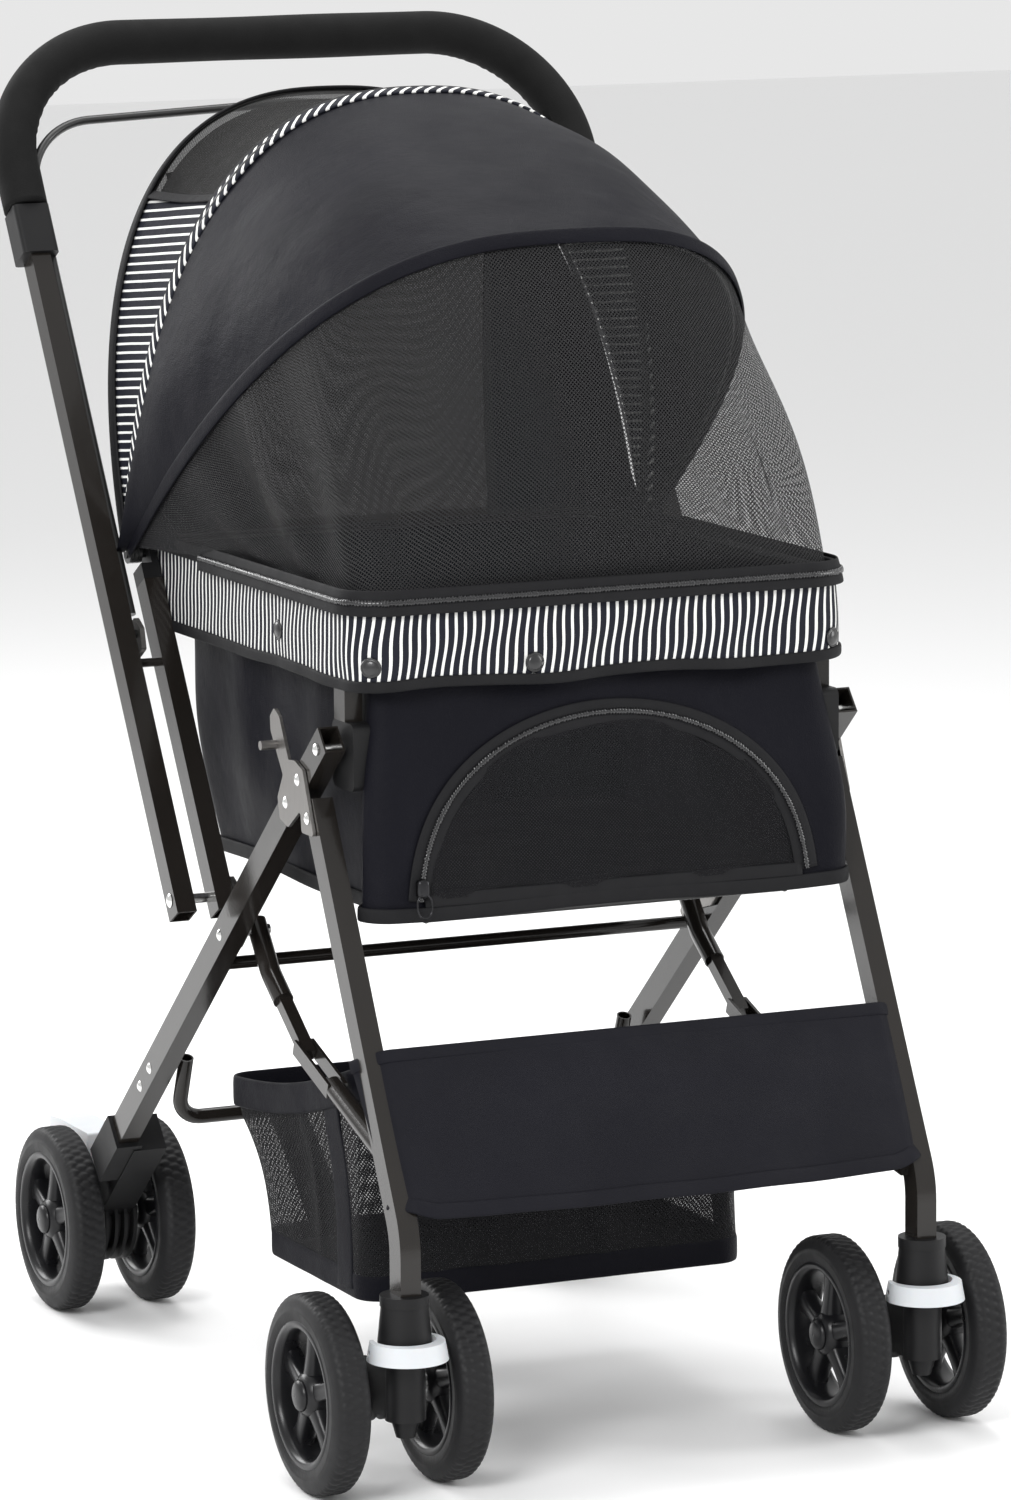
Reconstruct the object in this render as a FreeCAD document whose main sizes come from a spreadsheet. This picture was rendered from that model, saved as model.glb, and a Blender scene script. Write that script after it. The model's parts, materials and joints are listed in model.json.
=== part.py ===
import FreeCAD, Part
import math
import os

# Folding pet stroller. Front faces -Y, +X is the left-hand side seen from the front, +Z is up.
# The origin is on the floor, under the middle of the stroller's box to within a few millimetres.

doc = FreeCAD.newDocument("pet_stroller")
sheet = doc.addObject("Spreadsheet::Sheet", "sizes")
V = FreeCAD.Vector

SIZES = [
    # wheels
    ("wheel_diameter", 150), ("wheel_width", 30), ("rim_diameter", 112), ("axle_diameter", 10),
    ("wheelbase", 618), ("front_pair_centre", 211), ("front_pair_spacing", 97),
    ("rear_pair_centre", 189), ("rear_pair_spacing", 78), ("spoke_count", 5),
    # side frames: the middle plane of each leg, the tube sections and the pivots
    ("leg_plane", 210), ("leg_width", 16), ("front_leg_depth", 20), ("rear_leg_depth", 22),
    ("tube_wall", 1.5), ("pin_diameter", 8), ("running_clearance", 0.05), ("body_gap", 0.5),
    ("cabin_pivot_y", -221), ("cabin_pivot_z", 535), ("leg_pivot_y", -209), ("leg_pivot_z", 482),
    ("handle_pivot_y", -6), ("handle_pivot_z", 390), ("plate_thickness", 2.5),
    ("caster_y", -358), ("caster_top", 155), ("rear_leg_end", 92),
    # rear posts and reversible handle
    ("handle_lean", 31.6), ("rear_post_length", 290), ("handle_plane", 243), ("handle_width", 16),
    ("handle_depth", 20), ("handle_length", 738), ("handle_corner", 110), ("grip_diameter", 36),
    ("grip_start", 600), ("collar_start", 548), ("collar_length", 42), ("release_rod", 7),
    ("release_length", 674), ("latch_radius", 200),
    ("latch_offset", 1.9), ("handle_swing", 79.5),
    # folding struts
    ("strut_plane", 182), ("strut_diameter", 16), ("knee_y", -108), ("knee_z", 286),
    # cabin
    ("post_plane", 191.5), ("post_width", 14), ("post_depth", 20), ("rim_height", 640),
    ("rim_front", -249), ("rim_rear", 166), ("rim_corner", 20), ("rim_wire", 8), ("cover_wall", 1.5),
    ("tub_half_width", 183), ("tub_floor_half_width", 170), ("tub_floor", 412), ("floor_front", -270), ("floor_rear", 92),
    ("tub_wall", 3), ("tub_corner", 34), ("band_height", 58), ("board_thickness", 14), ("board_inset", 15),
    ("floor_rod", 6), ("door_width", 300), ("door_height", 150),
    # canopy
    ("hoop_wire", 5), ("hoop_half_width", 218), ("hoop_step", 3.5), ("cover_thickness", 2),
    ("rear_hoop_length", 366), ("rear_hoop_lean", 20), ("mid_hoop_length", 357),
    ("mid_hoop_lean", -10), ("front_hoop_length", 436), ("front_hoop_lean", -53),
    # basket and front panel
    ("basket_half_width", 170), ("basket_rear_top", 217), ("basket_front_top", 272),
    ("basket_bottom", 104), ("basket_front", -178), ("basket_rear", 90),
    ("panel_top", 316), ("panel_bottom", 208), ("panel_thickness", 3),
]
for row, (name, value) in enumerate(SIZES, start=1):
    sheet.set("A%d" % row, name)
    sheet.set("B%d" % row, str(value))
    sheet.setAlias("B%d" % row, name)
doc.recompute()


def size(name):
    return float(sheet.get(name))


class Sizes:
    """The sheet's cells as attributes, so that a place is worked out from the same values."""

    def __getattr__(self, name):
        return size(name)


s = Sizes()
SIDES = (("left", -1), ("right", 1))
nodes = {}


def keep(obj, label):
    obj.Label = label
    nodes[label] = obj
    return obj


def bind(obj, **expressions):
    for prop, expression in expressions.items():
        obj.setExpression(prop, expression)
    return obj


def feature(shape, label):
    obj = doc.addObject("Part::Feature", label)
    obj.Shape = shape
    return keep(obj, label)


def group(shapes, label):
    """Separate solids that share one node."""
    return feature(Part.makeCompound([one for shape in shapes for one in shape.Solids]), label)


def lean(angle, start, length):
    """The point at a length from start, at an angle from +Z towards +Y, in the side plane."""
    turn = math.radians(angle)
    return start[0] + length * math.sin(turn), start[1] + length * math.cos(turn)


def turn_to(start, end):
    """Rotation about X that takes +Z to the line from start to end in the side plane."""
    return FreeCAD.Rotation(V(1, 0, 0), math.degrees(math.atan2(start[0] - end[0], end[1] - start[1])))


def span(start, end):
    return math.hypot(end[0] - start[0], end[1] - start[1])


def along(start, end, distance, offset=0.0):
    """A point on the line from start to end, moved sideways by offset towards +Y of the line."""
    length = span(start, end)
    dy, dz = (end[0] - start[0]) / length, (end[1] - start[1]) / length
    return start[0] + dy * distance + dz * offset, start[1] + dz * distance - dy * offset


def bar(x_mid, start, end, width, depth, grow=0.0):
    """A rectangular bar between two points of the side plane, width along X."""
    length = span(start, end) + 2 * grow
    box = Part.makeBox(width, depth, length, V(-width / 2, -depth / 2, -grow))
    box.Placement = FreeCAD.Placement(V(x_mid, start[0], start[1]), turn_to(start, end))
    return box


def bar_tube(x_mid, start, end, width, depth, wall, grow=0.0):
    outer = bar(x_mid, start, end, width, depth, grow)
    return outer.cut(bar(x_mid, start, end, width - 2 * wall, depth - 2 * wall, grow))


def pin(x0, x1, point, radius):
    """A cylinder along X between two X values, at a point of the side plane."""
    low, high = min(x0, x1), max(x0, x1)
    return Part.makeCylinder(radius, high - low, V(low, point[0], point[1]), V(1, 0, 0))


def rivet(x_face, side, point, radius=4.5, height=1.8):
    """A domed rivet head that stands on an outer face."""
    sphere_radius = (radius ** 2 + height ** 2) / (2 * height)
    ball = Part.makeSphere(sphere_radius, V(x_face - side * (sphere_radius - height), *point))
    return ball.common(pin(x_face, x_face + side * (height + 1), point, radius + 1))


def pipe(points, radius, corner, inner=0.0):
    """A round tube along straight runs joined by arcs of one corner radius."""
    wire = path(points, corner)
    tangent = (points[1] - points[0]).normalize()
    shapes = []
    for r in (radius, inner):
        if r > 0:
            ring = Part.Wire(Part.makeCircle(r, points[0], tangent))
            shapes.append(wire.makePipeShell([ring], True, True))
    solid = shapes[0]
    if inner > 0:
        solid = solid.cut(shapes[1])
    return solid


def path(points, corner):
    """Straight runs joined by tangent arcs."""
    edges = []
    here = points[0]
    for before, point, after in zip(points, points[1:], points[2:]):
        into = (point - before).normalize()
        out = (after - point).normalize()
        half = into.getAngle(out) / 2
        reach = corner * math.tan(half)
        start = point - into * reach
        end = point + out * reach
        toward = (out - into).normalize()
        middle = point + toward * (corner / math.cos(half) - corner)
        edges.append(Part.makeLine(here, start))
        edges.append(Part.Arc(start, middle, end).toShape())
        here = end
    edges.append(Part.makeLine(here, points[-1]))
    return Part.Wire(edges)


def plate(x0, x1, outline):
    """A flat plate between two X values from an outline of side-plane points."""
    low, high = min(x0, x1), max(x0, x1)
    points = [V(low, y, z) for y, z in outline]
    face = Part.Face(Part.makePolygon(points + points[:1]))
    return face.extrude(V(high - low, 0, 0))


def rounded(shape, radius, axis=V(1, 0, 0)):
    """Round the edges that run along an axis."""
    edges = [e for e in shape.Edges if abs(abs(e.tangentAt(e.FirstParameter).dot(axis)) - 1) < 1e-6]
    return shape.makeFillet(radius, edges)


def plane_of(body, role):
    return next(f for f in body.Origin.OriginFeatures if f.Role == role)


def sketch_on(body, role, name, offset=None):
    sketch = body.newObject("Sketcher::SketchObject", name)
    sketch.AttachmentSupport = [(plane_of(body, role), "")]
    sketch.MapMode = "FlatFace"
    if offset is not None:
        sketch.AttachmentOffset = offset
    return sketch


def closed_outline(sketch, points):
    for start, end in zip(points, points[1:] + points[:1]):
        sketch.addGeometry(Part.LineSegment(V(*start, 0), V(*end, 0)), False)


# The pivots and the lines of the side frame, in the side plane (y, z).
REAR_AXLE = (s.wheelbase / 2, s.wheel_diameter / 2)
FRONT_AXLE = (-s.wheelbase / 2, s.wheel_diameter / 2)
CABIN_PIVOT = (s.cabin_pivot_y, s.cabin_pivot_z)
LEG_PIVOT = (s.leg_pivot_y, s.leg_pivot_z)
HANDLE_PIVOT = (s.handle_pivot_y, s.handle_pivot_z)
CANOPY_PIVOT = lean(s.handle_lean, HANDLE_PIVOT, s.rear_post_length)
REAR_LEG_LOW = along(REAR_AXLE, CABIN_PIVOT, s.rear_leg_end)
PIN = s.pin_diameter / 2
LOOSE = PIN + s.running_clearance
LEG_OUT = s.leg_plane + s.leg_width / 2
LEG_IN = s.leg_plane - s.leg_width / 2


# ---------------------------------------------------------------- wheels
def wheel_rim(label, x_mid, axle):
    """Moulded rim: hub, flat web with five windows, and a channel that the tyre sits in."""
    body = doc.addObject("PartDesign::Body", label)
    half = s.wheel_width / 2
    seat = s.rim_diameter / 2
    bore = s.axle_diameter / 2 + s.running_clearance
    profile = sketch_on(body, "XY_Plane", label + "_profile")
    closed_outline(profile, [
        (-half + 2, bore), (half - 2, bore), (half - 2, 13), (half - 5, 17), (4, 18), (3, 47),
        (half - 3, 49), (half - 3, seat - 2), (half - 6, seat), (-half + 6, seat),
        (-half + 3, seat - 2), (-half + 3, 49), (-3, 47), (-4, 18), (-half + 5, 17), (-half + 2, 13)])
    turned = body.newObject("PartDesign::Revolution", label + "_turned")
    turned.Profile = profile
    turned.ReferenceAxis = (profile, ["H_Axis"])
    turned.Angle = 360
    window = sketch_on(body, "YZ_Plane", label + "_window")
    gap = math.radians(360 / s.spoke_count)
    arc = 0.31 * gap
    closed_outline(window, [
        (21 * math.cos(a), 21 * math.sin(a)) for a in (arc * 0.55, -arc * 0.55)] + [
        (45 * math.cos(a), 45 * math.sin(a)) for a in (-arc, -arc / 2, 0, arc / 2, arc)])
    cut = body.newObject("PartDesign::Pocket", label + "_window_cut")
    cut.Profile = window
    cut.Type = "ThroughAll"
    cut.Midplane = True
    ring = body.newObject("PartDesign::PolarPattern", label + "_windows")
    ring.Originals = [cut]
    ring.Axis = (profile, ["H_Axis"])
    ring.Angle = 360
    bind(ring, Occurrences="sizes.spoke_count")
    body.Tip = ring
    body.Placement = FreeCAD.Placement(V(x_mid, *axle), FreeCAD.Rotation())
    return keep(body, label)


def wheel_tyre(label, x_mid, axle):
    """Foam tyre: a ring with rounded shoulders that grips the rim's channel."""
    body = doc.addObject("PartDesign::Body", label)
    half = s.wheel_width / 2
    seat = s.rim_diameter / 2
    tread = s.wheel_diameter / 2
    profile = sketch_on(body, "XY_Plane", label + "_profile")
    closed_outline(profile, [
        (-half + 6, seat), (half - 6, seat), (half - 3, seat - 2), (half - 1, seat - 1),
        (half, seat + 6), (half - 1, tread - 7), (half - 4, tread - 2), (half - 8, tread),
        (-half + 8, tread), (-half + 4, tread - 2), (-half + 1, tread - 7), (-half, seat + 6),
        (-half + 1, seat - 1), (-half + 3, seat - 2)])
    turned = body.newObject("PartDesign::Revolution", label + "_turned")
    turned.Profile = profile
    turned.ReferenceAxis = (profile, ["H_Axis"])
    turned.Angle = 360
    body.Placement = FreeCAD.Placement(V(x_mid, *axle), FreeCAD.Rotation())
    return keep(body, label)


WHEELS = []
for side_name, side in SIDES:
    for end, axle, centre, spacing in (
            ("front", FRONT_AXLE, s.front_pair_centre, s.front_pair_spacing),
            ("rear", REAR_AXLE, s.rear_pair_centre, s.rear_pair_spacing)):
        for place, step in (("outer", 0.5), ("inner", -0.5)):
            WHEELS.append((f"{end}_{side_name}_{place}", side * (centre + step * spacing), axle))
for wheel_name, wheel_x, wheel_axle in WHEELS:
    wheel_rim("rim_" + wheel_name, wheel_x, wheel_axle)
    wheel_tyre("tyre_" + wheel_name, wheel_x, wheel_axle)


def axle_rod(label, centre, spacing, axle, sides):
    """Steel axle with a flat head outside each wheel of the pair."""
    reach = spacing / 2 + s.wheel_width / 2
    shapes = []
    for side in sides:
        x_low, x_high = side * centre - reach, side * centre + reach
        rod = pin(x_low, x_high, axle, s.axle_diameter / 2)
        heads = [pin(x_low - 2, x_low, axle, 8), pin(x_high, x_high + 2, axle, 8)]
        shapes.append(rod.multiFuse(heads).removeSplitter())
    return group(shapes, label)


axle_rod("rear_axles", s.rear_pair_centre, s.rear_pair_spacing, REAR_AXLE, (-1, 1))
axle_rod("front_axle_left", s.front_pair_centre, s.front_pair_spacing, FRONT_AXLE, (-1,))
axle_rod("front_axle_right", s.front_pair_centre, s.front_pair_spacing, FRONT_AXLE, (1,))

# ---------------------------------------------------------------- rear legs and what is on them
BRACKET_PIVOT = (-14.0, 363.0)
BASKET_FIX = along(REAR_AXLE, CABIN_PIVOT, 236, -18)
CROSS_REAR = along(REAR_AXLE, CABIN_PIVOT, 395)
rear_legs = []
for _, side in SIDES:
    top = along(CABIN_PIVOT, REAR_AXLE, -13)
    leg = bar_tube(side * s.leg_plane, REAR_LEG_LOW, top, s.leg_width, s.rear_leg_depth, s.tube_wall)
    rear_legs.append(leg.cut(pin(side * (LEG_IN - 1), side * (LEG_OUT + 1), CABIN_PIVOT, PIN)))
group(rear_legs, "rear_legs")

RIVET_HIGH = along(CABIN_PIVOT, REAR_AXLE, 41)
RIVET_LOW = along(CABIN_PIVOT, REAR_AXLE, 72)
PLATE_OUT = LEG_OUT + s.body_gap + s.plate_thickness
FRONT_LATCH = lean(s.handle_lean + s.latch_offset - s.handle_swing, HANDLE_PIVOT, s.latch_radius)
LATCH_END = s.handle_plane - s.handle_width / 2 - 1.5
fold_plates = []
for _, side in SIDES:
    outline = [(-221, 470), (-198, 470), (-196, 486), (-172, 470), (-156, 474), (-152, 490), (-163, 508),
               (-140, 538), (-139, 549), (-147, 556), (-157, 551), (-174, 521), (-186, 522), (-201, 517)]
    fold_plate = plate(side * (LEG_OUT + s.body_gap), side * PLATE_OUT, outline)
    fold_plate = rounded(fold_plate, 2.5)
    spacer = pin(side * LEG_OUT, side * (LEG_OUT + s.body_gap), RIVET_HIGH, 9)
    second = pin(side * LEG_OUT, side * (LEG_OUT + s.body_gap), RIVET_LOW, 9)
    latch = pin(side * (PLATE_OUT - 1), side * LATCH_END, FRONT_LATCH, 3.5)
    fold_plate = fold_plate.multiFuse([spacer, second, latch])
    fold_plate = fold_plate.cut(pin(side * (LEG_OUT - 1), side * (PLATE_OUT + 1), LEG_PIVOT, PIN))
    fold_plates.append(fold_plate)
group(fold_plates, "fold_plates")

brackets = []
for _, side in SIDES:
    outline = [(-44, 372), (-22, 352), (8, 344), (22, 330), (34, 338), (12, 366), (8, 398), (-6, 405),
               (-20, 398), (-24, 386)]
    flat = rounded(plate(side * (LEG_IN - 3.5), side * LEG_IN, outline), 3)
    flat = flat.cut(pin(side * (LEG_IN - 5), side * (LEG_IN + 1), HANDLE_PIVOT, PIN))
    flat = flat.cut(pin(side * (LEG_IN - 5), side * (LEG_IN + 1), BRACKET_PIVOT, PIN))
    brackets.append(flat)
group(brackets, "strut_brackets")

basket_turn = (BASKET_FIX[0] + 22, BASKET_FIX[1] - 30)
bar_x = LEG_IN - 12
group([pipe([V(-bar_x, *along(REAR_AXLE, CABIN_PIVOT, 250, 0)), V(-bar_x, *basket_turn),
             V(bar_x, *basket_turn), V(bar_x, *along(REAR_AXLE, CABIN_PIVOT, 250, 0))], 6, 20, 4.8)],
      "basket_tube")
feature(pin(-LEG_IN, LEG_IN, CROSS_REAR, 5), "rear_cross_bar")


PEDAL_PIVOT = (REAR_AXLE[0] + 4, REAR_AXLE[1] + 42)


PEDAL_HALF_WIDTH = 15.5
PEDAL_WELL = 0.4
PEDAL_TURNS = (0, 5, 10, 15, 20)


def pedal_blank(side, grow=0.0):
    """The brake pedal's tread and its boss, before its bore: grown a little, it cuts its own well."""
    py, pz = PEDAL_PIVOT
    near, far = side * (s.rear_pair_centre - PEDAL_HALF_WIDTH - grow), side * (s.rear_pair_centre + PEDAL_HALF_WIDTH + grow)
    tread = plate(near, far, [
        (py - 6 - grow, pz + 4), (py + 10, pz + 8 - grow), (py + 60, pz + 9 - grow), (py + 80 + grow, pz + 15),
        (py + 80 + grow, pz + 24), (py + 56, pz + 26 + grow), (py - 8 - grow, pz + 26 + grow)])
    if not grow:
        tread = rounded(tread, 2)
    return tread.fuse(pin(near, far, PEDAL_PIVOT, 7 + grow))


def rear_housing(side_name, side):
    """Plastic housing that takes the leg's end, drops between the wheels and holds the axle."""
    leg_x = side * s.leg_plane
    mid_x = side * s.rear_pair_centre
    socket = bar(leg_x, along(REAR_AXLE, CABIN_PIVOT, 84), along(REAR_AXLE, CABIN_PIVOT, 138),
                 s.leg_width + 6, s.rear_leg_depth + 8)
    drop = bar(mid_x + side * 2, along(REAR_AXLE, CABIN_PIVOT, 0), along(REAR_AXLE, CABIN_PIVOT, 132),
               28, 32)
    drum = pin(mid_x - 17, mid_x + 17, REAR_AXLE, 30)
    ribs = [pin(mid_x + offset - 1.5, mid_x + offset + 1.5, REAR_AXLE, 38) for offset in (-12, -4, 4, 12)]
    ears = []
    for offset in (-19.5, 16):
        ears.append(plate(mid_x + offset, mid_x + offset + 3.5, [
            (REAR_AXLE[0] - 26, REAR_AXLE[1] + 14), (REAR_AXLE[0] + 14, REAR_AXLE[1] + 20),
            (PEDAL_PIVOT[0] + 8, PEDAL_PIVOT[1] + 6), (PEDAL_PIVOT[0] - 8, PEDAL_PIVOT[1] + 6)]))
    solid = socket.multiFuse([drop, drum] + ribs + ears)
    wells = []
    for step in (-0.5, 0.5):
        wheel_mid = side * (s.rear_pair_centre + step * s.rear_pair_spacing)
        wells.append(pin(wheel_mid - s.wheel_width / 2 - 2, wheel_mid + s.wheel_width / 2 + 2, REAR_AXLE,
                         s.wheel_diameter / 2 + 3))
    solid = solid.cut(wells[0]).cut(wells[1])
    solid = solid.cut(pin(mid_x - 40, mid_x + 40, REAR_AXLE, s.axle_diameter / 2))
    solid = solid.cut(pin(mid_x - 40, mid_x + 40, PEDAL_PIVOT, 3))
    for turn in PEDAL_TURNS:
        well = pedal_blank(side, PEDAL_WELL)
        well.rotate(V(0, *PEDAL_PIVOT), V(-1, 0, 0), turn)
        solid = solid.cut(well)
    solid = solid.cut(bar(leg_x, REAR_LEG_LOW, CABIN_PIVOT, s.leg_width, s.rear_leg_depth))
    return feature(solid.removeSplitter(), f"rear_housing_{side_name}")


for side_name, side in SIDES:
    rear_housing(side_name, side)

pedal_x = s.rear_pair_centre
pedal_pins = [pin(side * (pedal_x - 19.5), side * (pedal_x + 19.5), PEDAL_PIVOT, 3) for _, side in SIDES]
for side_name, side in SIDES:
    pedal = pedal_blank(side).cut(pin(side * (pedal_x - 20), side * (pedal_x + 20), PEDAL_PIVOT, 3.05))
    feature(pedal.removeSplitter(), f"brake_pedal_{side_name}")

# ---------------------------------------------------------------- front legs and casters
LEG_LINE_LOW = (-342.0, 228.0)
SOCKET_TOP = (s.caster_y, s.caster_top)
LEG_BEND = (s.caster_y, LEG_LINE_LOW[1] - (LEG_LINE_LOW[0] - s.caster_y)
            * (LEG_PIVOT[1] - LEG_LINE_LOW[1]) / (LEG_PIVOT[0] - LEG_LINE_LOW[0]))


FRONT_STRUT_END = (-321.0, 214.0)


def front_leg(side):
    """Rectangular tube, straight from the fold pivot and bent upright into the caster socket."""
    x_mid = side * s.leg_plane
    top = along(LEG_PIVOT, LEG_BEND, -12)
    points = [V(x_mid, *top), V(x_mid, *LEG_BEND), V(x_mid, s.caster_y, s.caster_top - 25)]
    wire = path(points, 60)
    solids = []
    for shrink in (0, s.tube_wall):
        half_w, half_d = s.leg_width / 2 - shrink, s.front_leg_depth / 2 - shrink
        frame = turn_to(top, LEG_BEND)
        corners = [frame.multVec(V(dx, dy, 0)) + points[0] for dx, dy in (
            (-half_w, -half_d), (half_w, -half_d), (half_w, half_d), (-half_w, half_d))]
        solids.append(wire.makePipeShell([Part.makePolygon(corners + corners[:1])], True, True))
    leg = solids[0].cut(solids[1])
    y, z = FRONT_STRUT_END
    lug = plate(side * (LEG_IN - 3), side * LEG_IN, [
        (y - 26, z + 12), (y + 7, z + 8), (y + 9, z - 6), (y, z - 10), (y - 26, z - 14)])
    boss = pin(side * (s.strut_plane + s.strut_diameter / 2 + 0.8), side * (LEG_IN - 3), FRONT_STRUT_END, 6)
    leg = leg.cut(pin(side * (LEG_IN - 1), side * (LEG_OUT + 1), LEG_PIVOT, LOOSE))
    return leg.multiFuse([lug, boss]).removeSplitter()


group([front_leg(side) for _, side in SIDES], "front_legs")
CROSS_FRONT_REACH = 196
CROSS_FRONT = along(LEG_PIVOT, LEG_BEND, CROSS_FRONT_REACH)
feature(pin(-LEG_IN, LEG_IN, CROSS_FRONT, 7).cut(pin(-LEG_IN, LEG_IN, CROSS_FRONT, 5.5)),
        "front_cross_bar")

SOCKET_LOW = 120.0
sockets = []
for _, side in SIDES:
    x_mid = side * s.front_pair_centre
    base = V(x_mid, s.caster_y, SOCKET_LOW)
    cone = Part.makeCone(20, 16.5, s.caster_top - SOCKET_LOW, base)
    collar = Part.makeCylinder(18, 8, V(x_mid, s.caster_y, s.caster_top - 8))
    socket = cone.fuse(collar)
    leg_hole = Part.makeBox(s.leg_width, s.front_leg_depth, 60,
                            V(side * s.leg_plane - s.leg_width / 2, s.caster_y - s.front_leg_depth / 2,
                              s.caster_top - 25))
    stem_hole = Part.makeCylinder(5.05, 30, V(x_mid, s.caster_y, SOCKET_LOW - 1))
    sockets.append(socket.cut(leg_hole).cut(stem_hole).removeSplitter())
group(sockets, "caster_sockets")


LEVER_Z = 114.0


def caster_fork(side_name, side):
    """Plastic swivel fork: a barrel under the socket, a stem in it, and an arm back to the axle."""
    x_mid = side * s.front_pair_centre
    top = SOCKET_LOW - s.body_gap
    barrel = Part.makeCylinder(15, top - 62, V(x_mid, s.caster_y, 62))
    trunnion = pin(x_mid - 27, x_mid + 27, (s.caster_y, LEVER_Z), 2.5)
    nub = Part.makeCone(7, 11, 14, V(x_mid, s.caster_y, 49))
    stem = Part.makeCylinder(5, 18, V(x_mid, s.caster_y, top - 2))
    arm = plate(x_mid - 15, x_mid + 15, [
        (s.caster_y + 2, 64), (FRONT_AXLE[0] + 8, 61), (FRONT_AXLE[0] + 17, 72), (FRONT_AXLE[0] + 12, 90),
        (s.caster_y + 14, 106), (s.caster_y + 2, 106)])
    boss = pin(x_mid - 17, x_mid + 17, FRONT_AXLE, 17)
    ribs = [pin(x_mid + offset - 1.2, x_mid + offset + 1.2, FRONT_AXLE, 24) for offset in (-10, 0, 10)]
    solid = barrel.multiFuse([trunnion, nub, stem, arm, boss] + ribs)
    solid = solid.cut(pin(x_mid - 30, x_mid + 30, FRONT_AXLE, s.axle_diameter / 2))
    return feature(solid.removeSplitter(), f"caster_fork_{side_name}")


for side_name, side in SIDES:
    x_mid = side * s.front_pair_centre
    caster_fork(side_name, side)
    lever = Part.makeCone(30, 27.5, 14, V(x_mid, s.caster_y - 5, LEVER_Z - 6))
    lever = lever.cut(Part.makeCylinder(23, 14, V(x_mid, s.caster_y, LEVER_Z - 6)))
    lever = lever.cut(Part.makeBox(80, 60, 20, V(x_mid - 40, s.caster_y + 7, LEVER_Z - 8)))
    lever = lever.cut(pin(x_mid - 32, x_mid + 32, (s.caster_y, LEVER_Z), 2.55))
    feature(lever.removeSplitter(), f"swivel_lock_{side_name}")

# ---------------------------------------------------------------- folding struts
KNEE = (s.knee_y, s.knee_z)
BEND = (-38.0, 334.0)
rear_struts = []
front_struts = []
KNEE_REACH = 54.0
strut_length = span(KNEE, FRONT_STRUT_END)
for _, side in SIDES:
    x_mid = side * s.strut_plane
    r = s.strut_diameter / 2
    tube = pipe([V(x_mid, *along(BRACKET_PIVOT, BEND, -8)), V(x_mid, *BEND),
                 V(x_mid, *along(KNEE, BEND, KNEE_REACH))], r, 30)
    tongue = plate(x_mid - 5, x_mid + 5, [
        along(KNEE, BEND, KNEE_REACH + 8, 5), along(KNEE, BEND, -5, 5), along(KNEE, BEND, -5, -5),
        along(KNEE, BEND, KNEE_REACH + 8, -5)])
    tube = tube.fuse(tongue.cut(pin(x_mid - 9, x_mid + 9, KNEE, LOOSE)))
    tube = tube.cut(pin(x_mid - 20, x_mid + 20, BRACKET_PIVOT, LOOSE))
    rear_struts.append(tube.removeSplitter())
    outer = Part.makeCylinder(r, strut_length - KNEE_REACH)
    outer.Placement = FreeCAD.Placement(V(x_mid, *along(KNEE, FRONT_STRUT_END, KNEE_REACH)),
                                        turn_to(KNEE, FRONT_STRUT_END))
    cheeks = [plate(x_mid + x, x_mid + x + 2.4, [
        along(KNEE, FRONT_STRUT_END, -7, 6), along(KNEE, FRONT_STRUT_END, KNEE_REACH + 8, 6),
        along(KNEE, FRONT_STRUT_END, KNEE_REACH + 8, -6), along(KNEE, FRONT_STRUT_END, -7, -6)])
        for x in (-8, 5.6)]
    knee_pin = pin(x_mid - 8, x_mid + 8, KNEE, PIN)
    front_struts.append(outer.multiFuse(cheeks + [knee_pin]).removeSplitter())
group(rear_struts, "rear_struts")
group(front_struts, "front_struts")

# ---------------------------------------------------------------- cabin frame
POST_TOP = (CABIN_PIVOT[0] + 2, s.rim_height - s.rim_wire / 2)
posts = []
blocks = []
for _, side in SIDES:
    x_mid = side * s.post_plane
    posts.append(bar_tube(x_mid, (POST_TOP[0], s.cabin_pivot_z + 20), POST_TOP, s.post_width,
                          s.post_depth, s.tube_wall))
    block = Part.makeBox(s.post_width, 40, 50, V(x_mid - s.post_width / 2, CABIN_PIVOT[0] - 24,
                                                s.cabin_pivot_z - 30))
    blocks.append(rounded(block, 6).cut(pin(x_mid - 20, x_mid + 20, CABIN_PIVOT, LOOSE)))
group(posts, "front_posts")
group(blocks, "post_blocks")


def rounded_rectangle(half_width, front, rear, corner, height):
    """A flat closed wire with four round corners."""
    edges = []
    centres = ((half_width - corner, rear - corner, 0), (-half_width + corner, rear - corner, 90),
               (-half_width + corner, front + corner, 180), (half_width - corner, front + corner, 270))
    corners = []
    for cx, cy, start in centres:
        turns = [math.radians(start + a) for a in (0, 45, 90)]
        corners.append([V(cx + corner * math.cos(t), cy + corner * math.sin(t), height) for t in turns])
    for here, after in zip(corners, corners[1:] + corners[:1]):
        edges.append(Part.Arc(*here).toShape())
        edges.append(Part.makeLine(here[2], after[0]))
    return Part.Wire(edges)


rim_path = rounded_rectangle(s.post_plane, s.rim_front, s.rim_rear, s.rim_corner, s.rim_height)
rim_start = rim_path.Edges[0].Vertexes[0].Point
rim_ring = Part.Wire(Part.makeCircle(s.rim_wire / 2, rim_start, V(0, 1, 0)))
feature(rim_path.makePipeShell([rim_ring], True, True), "rim_frame")


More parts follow.
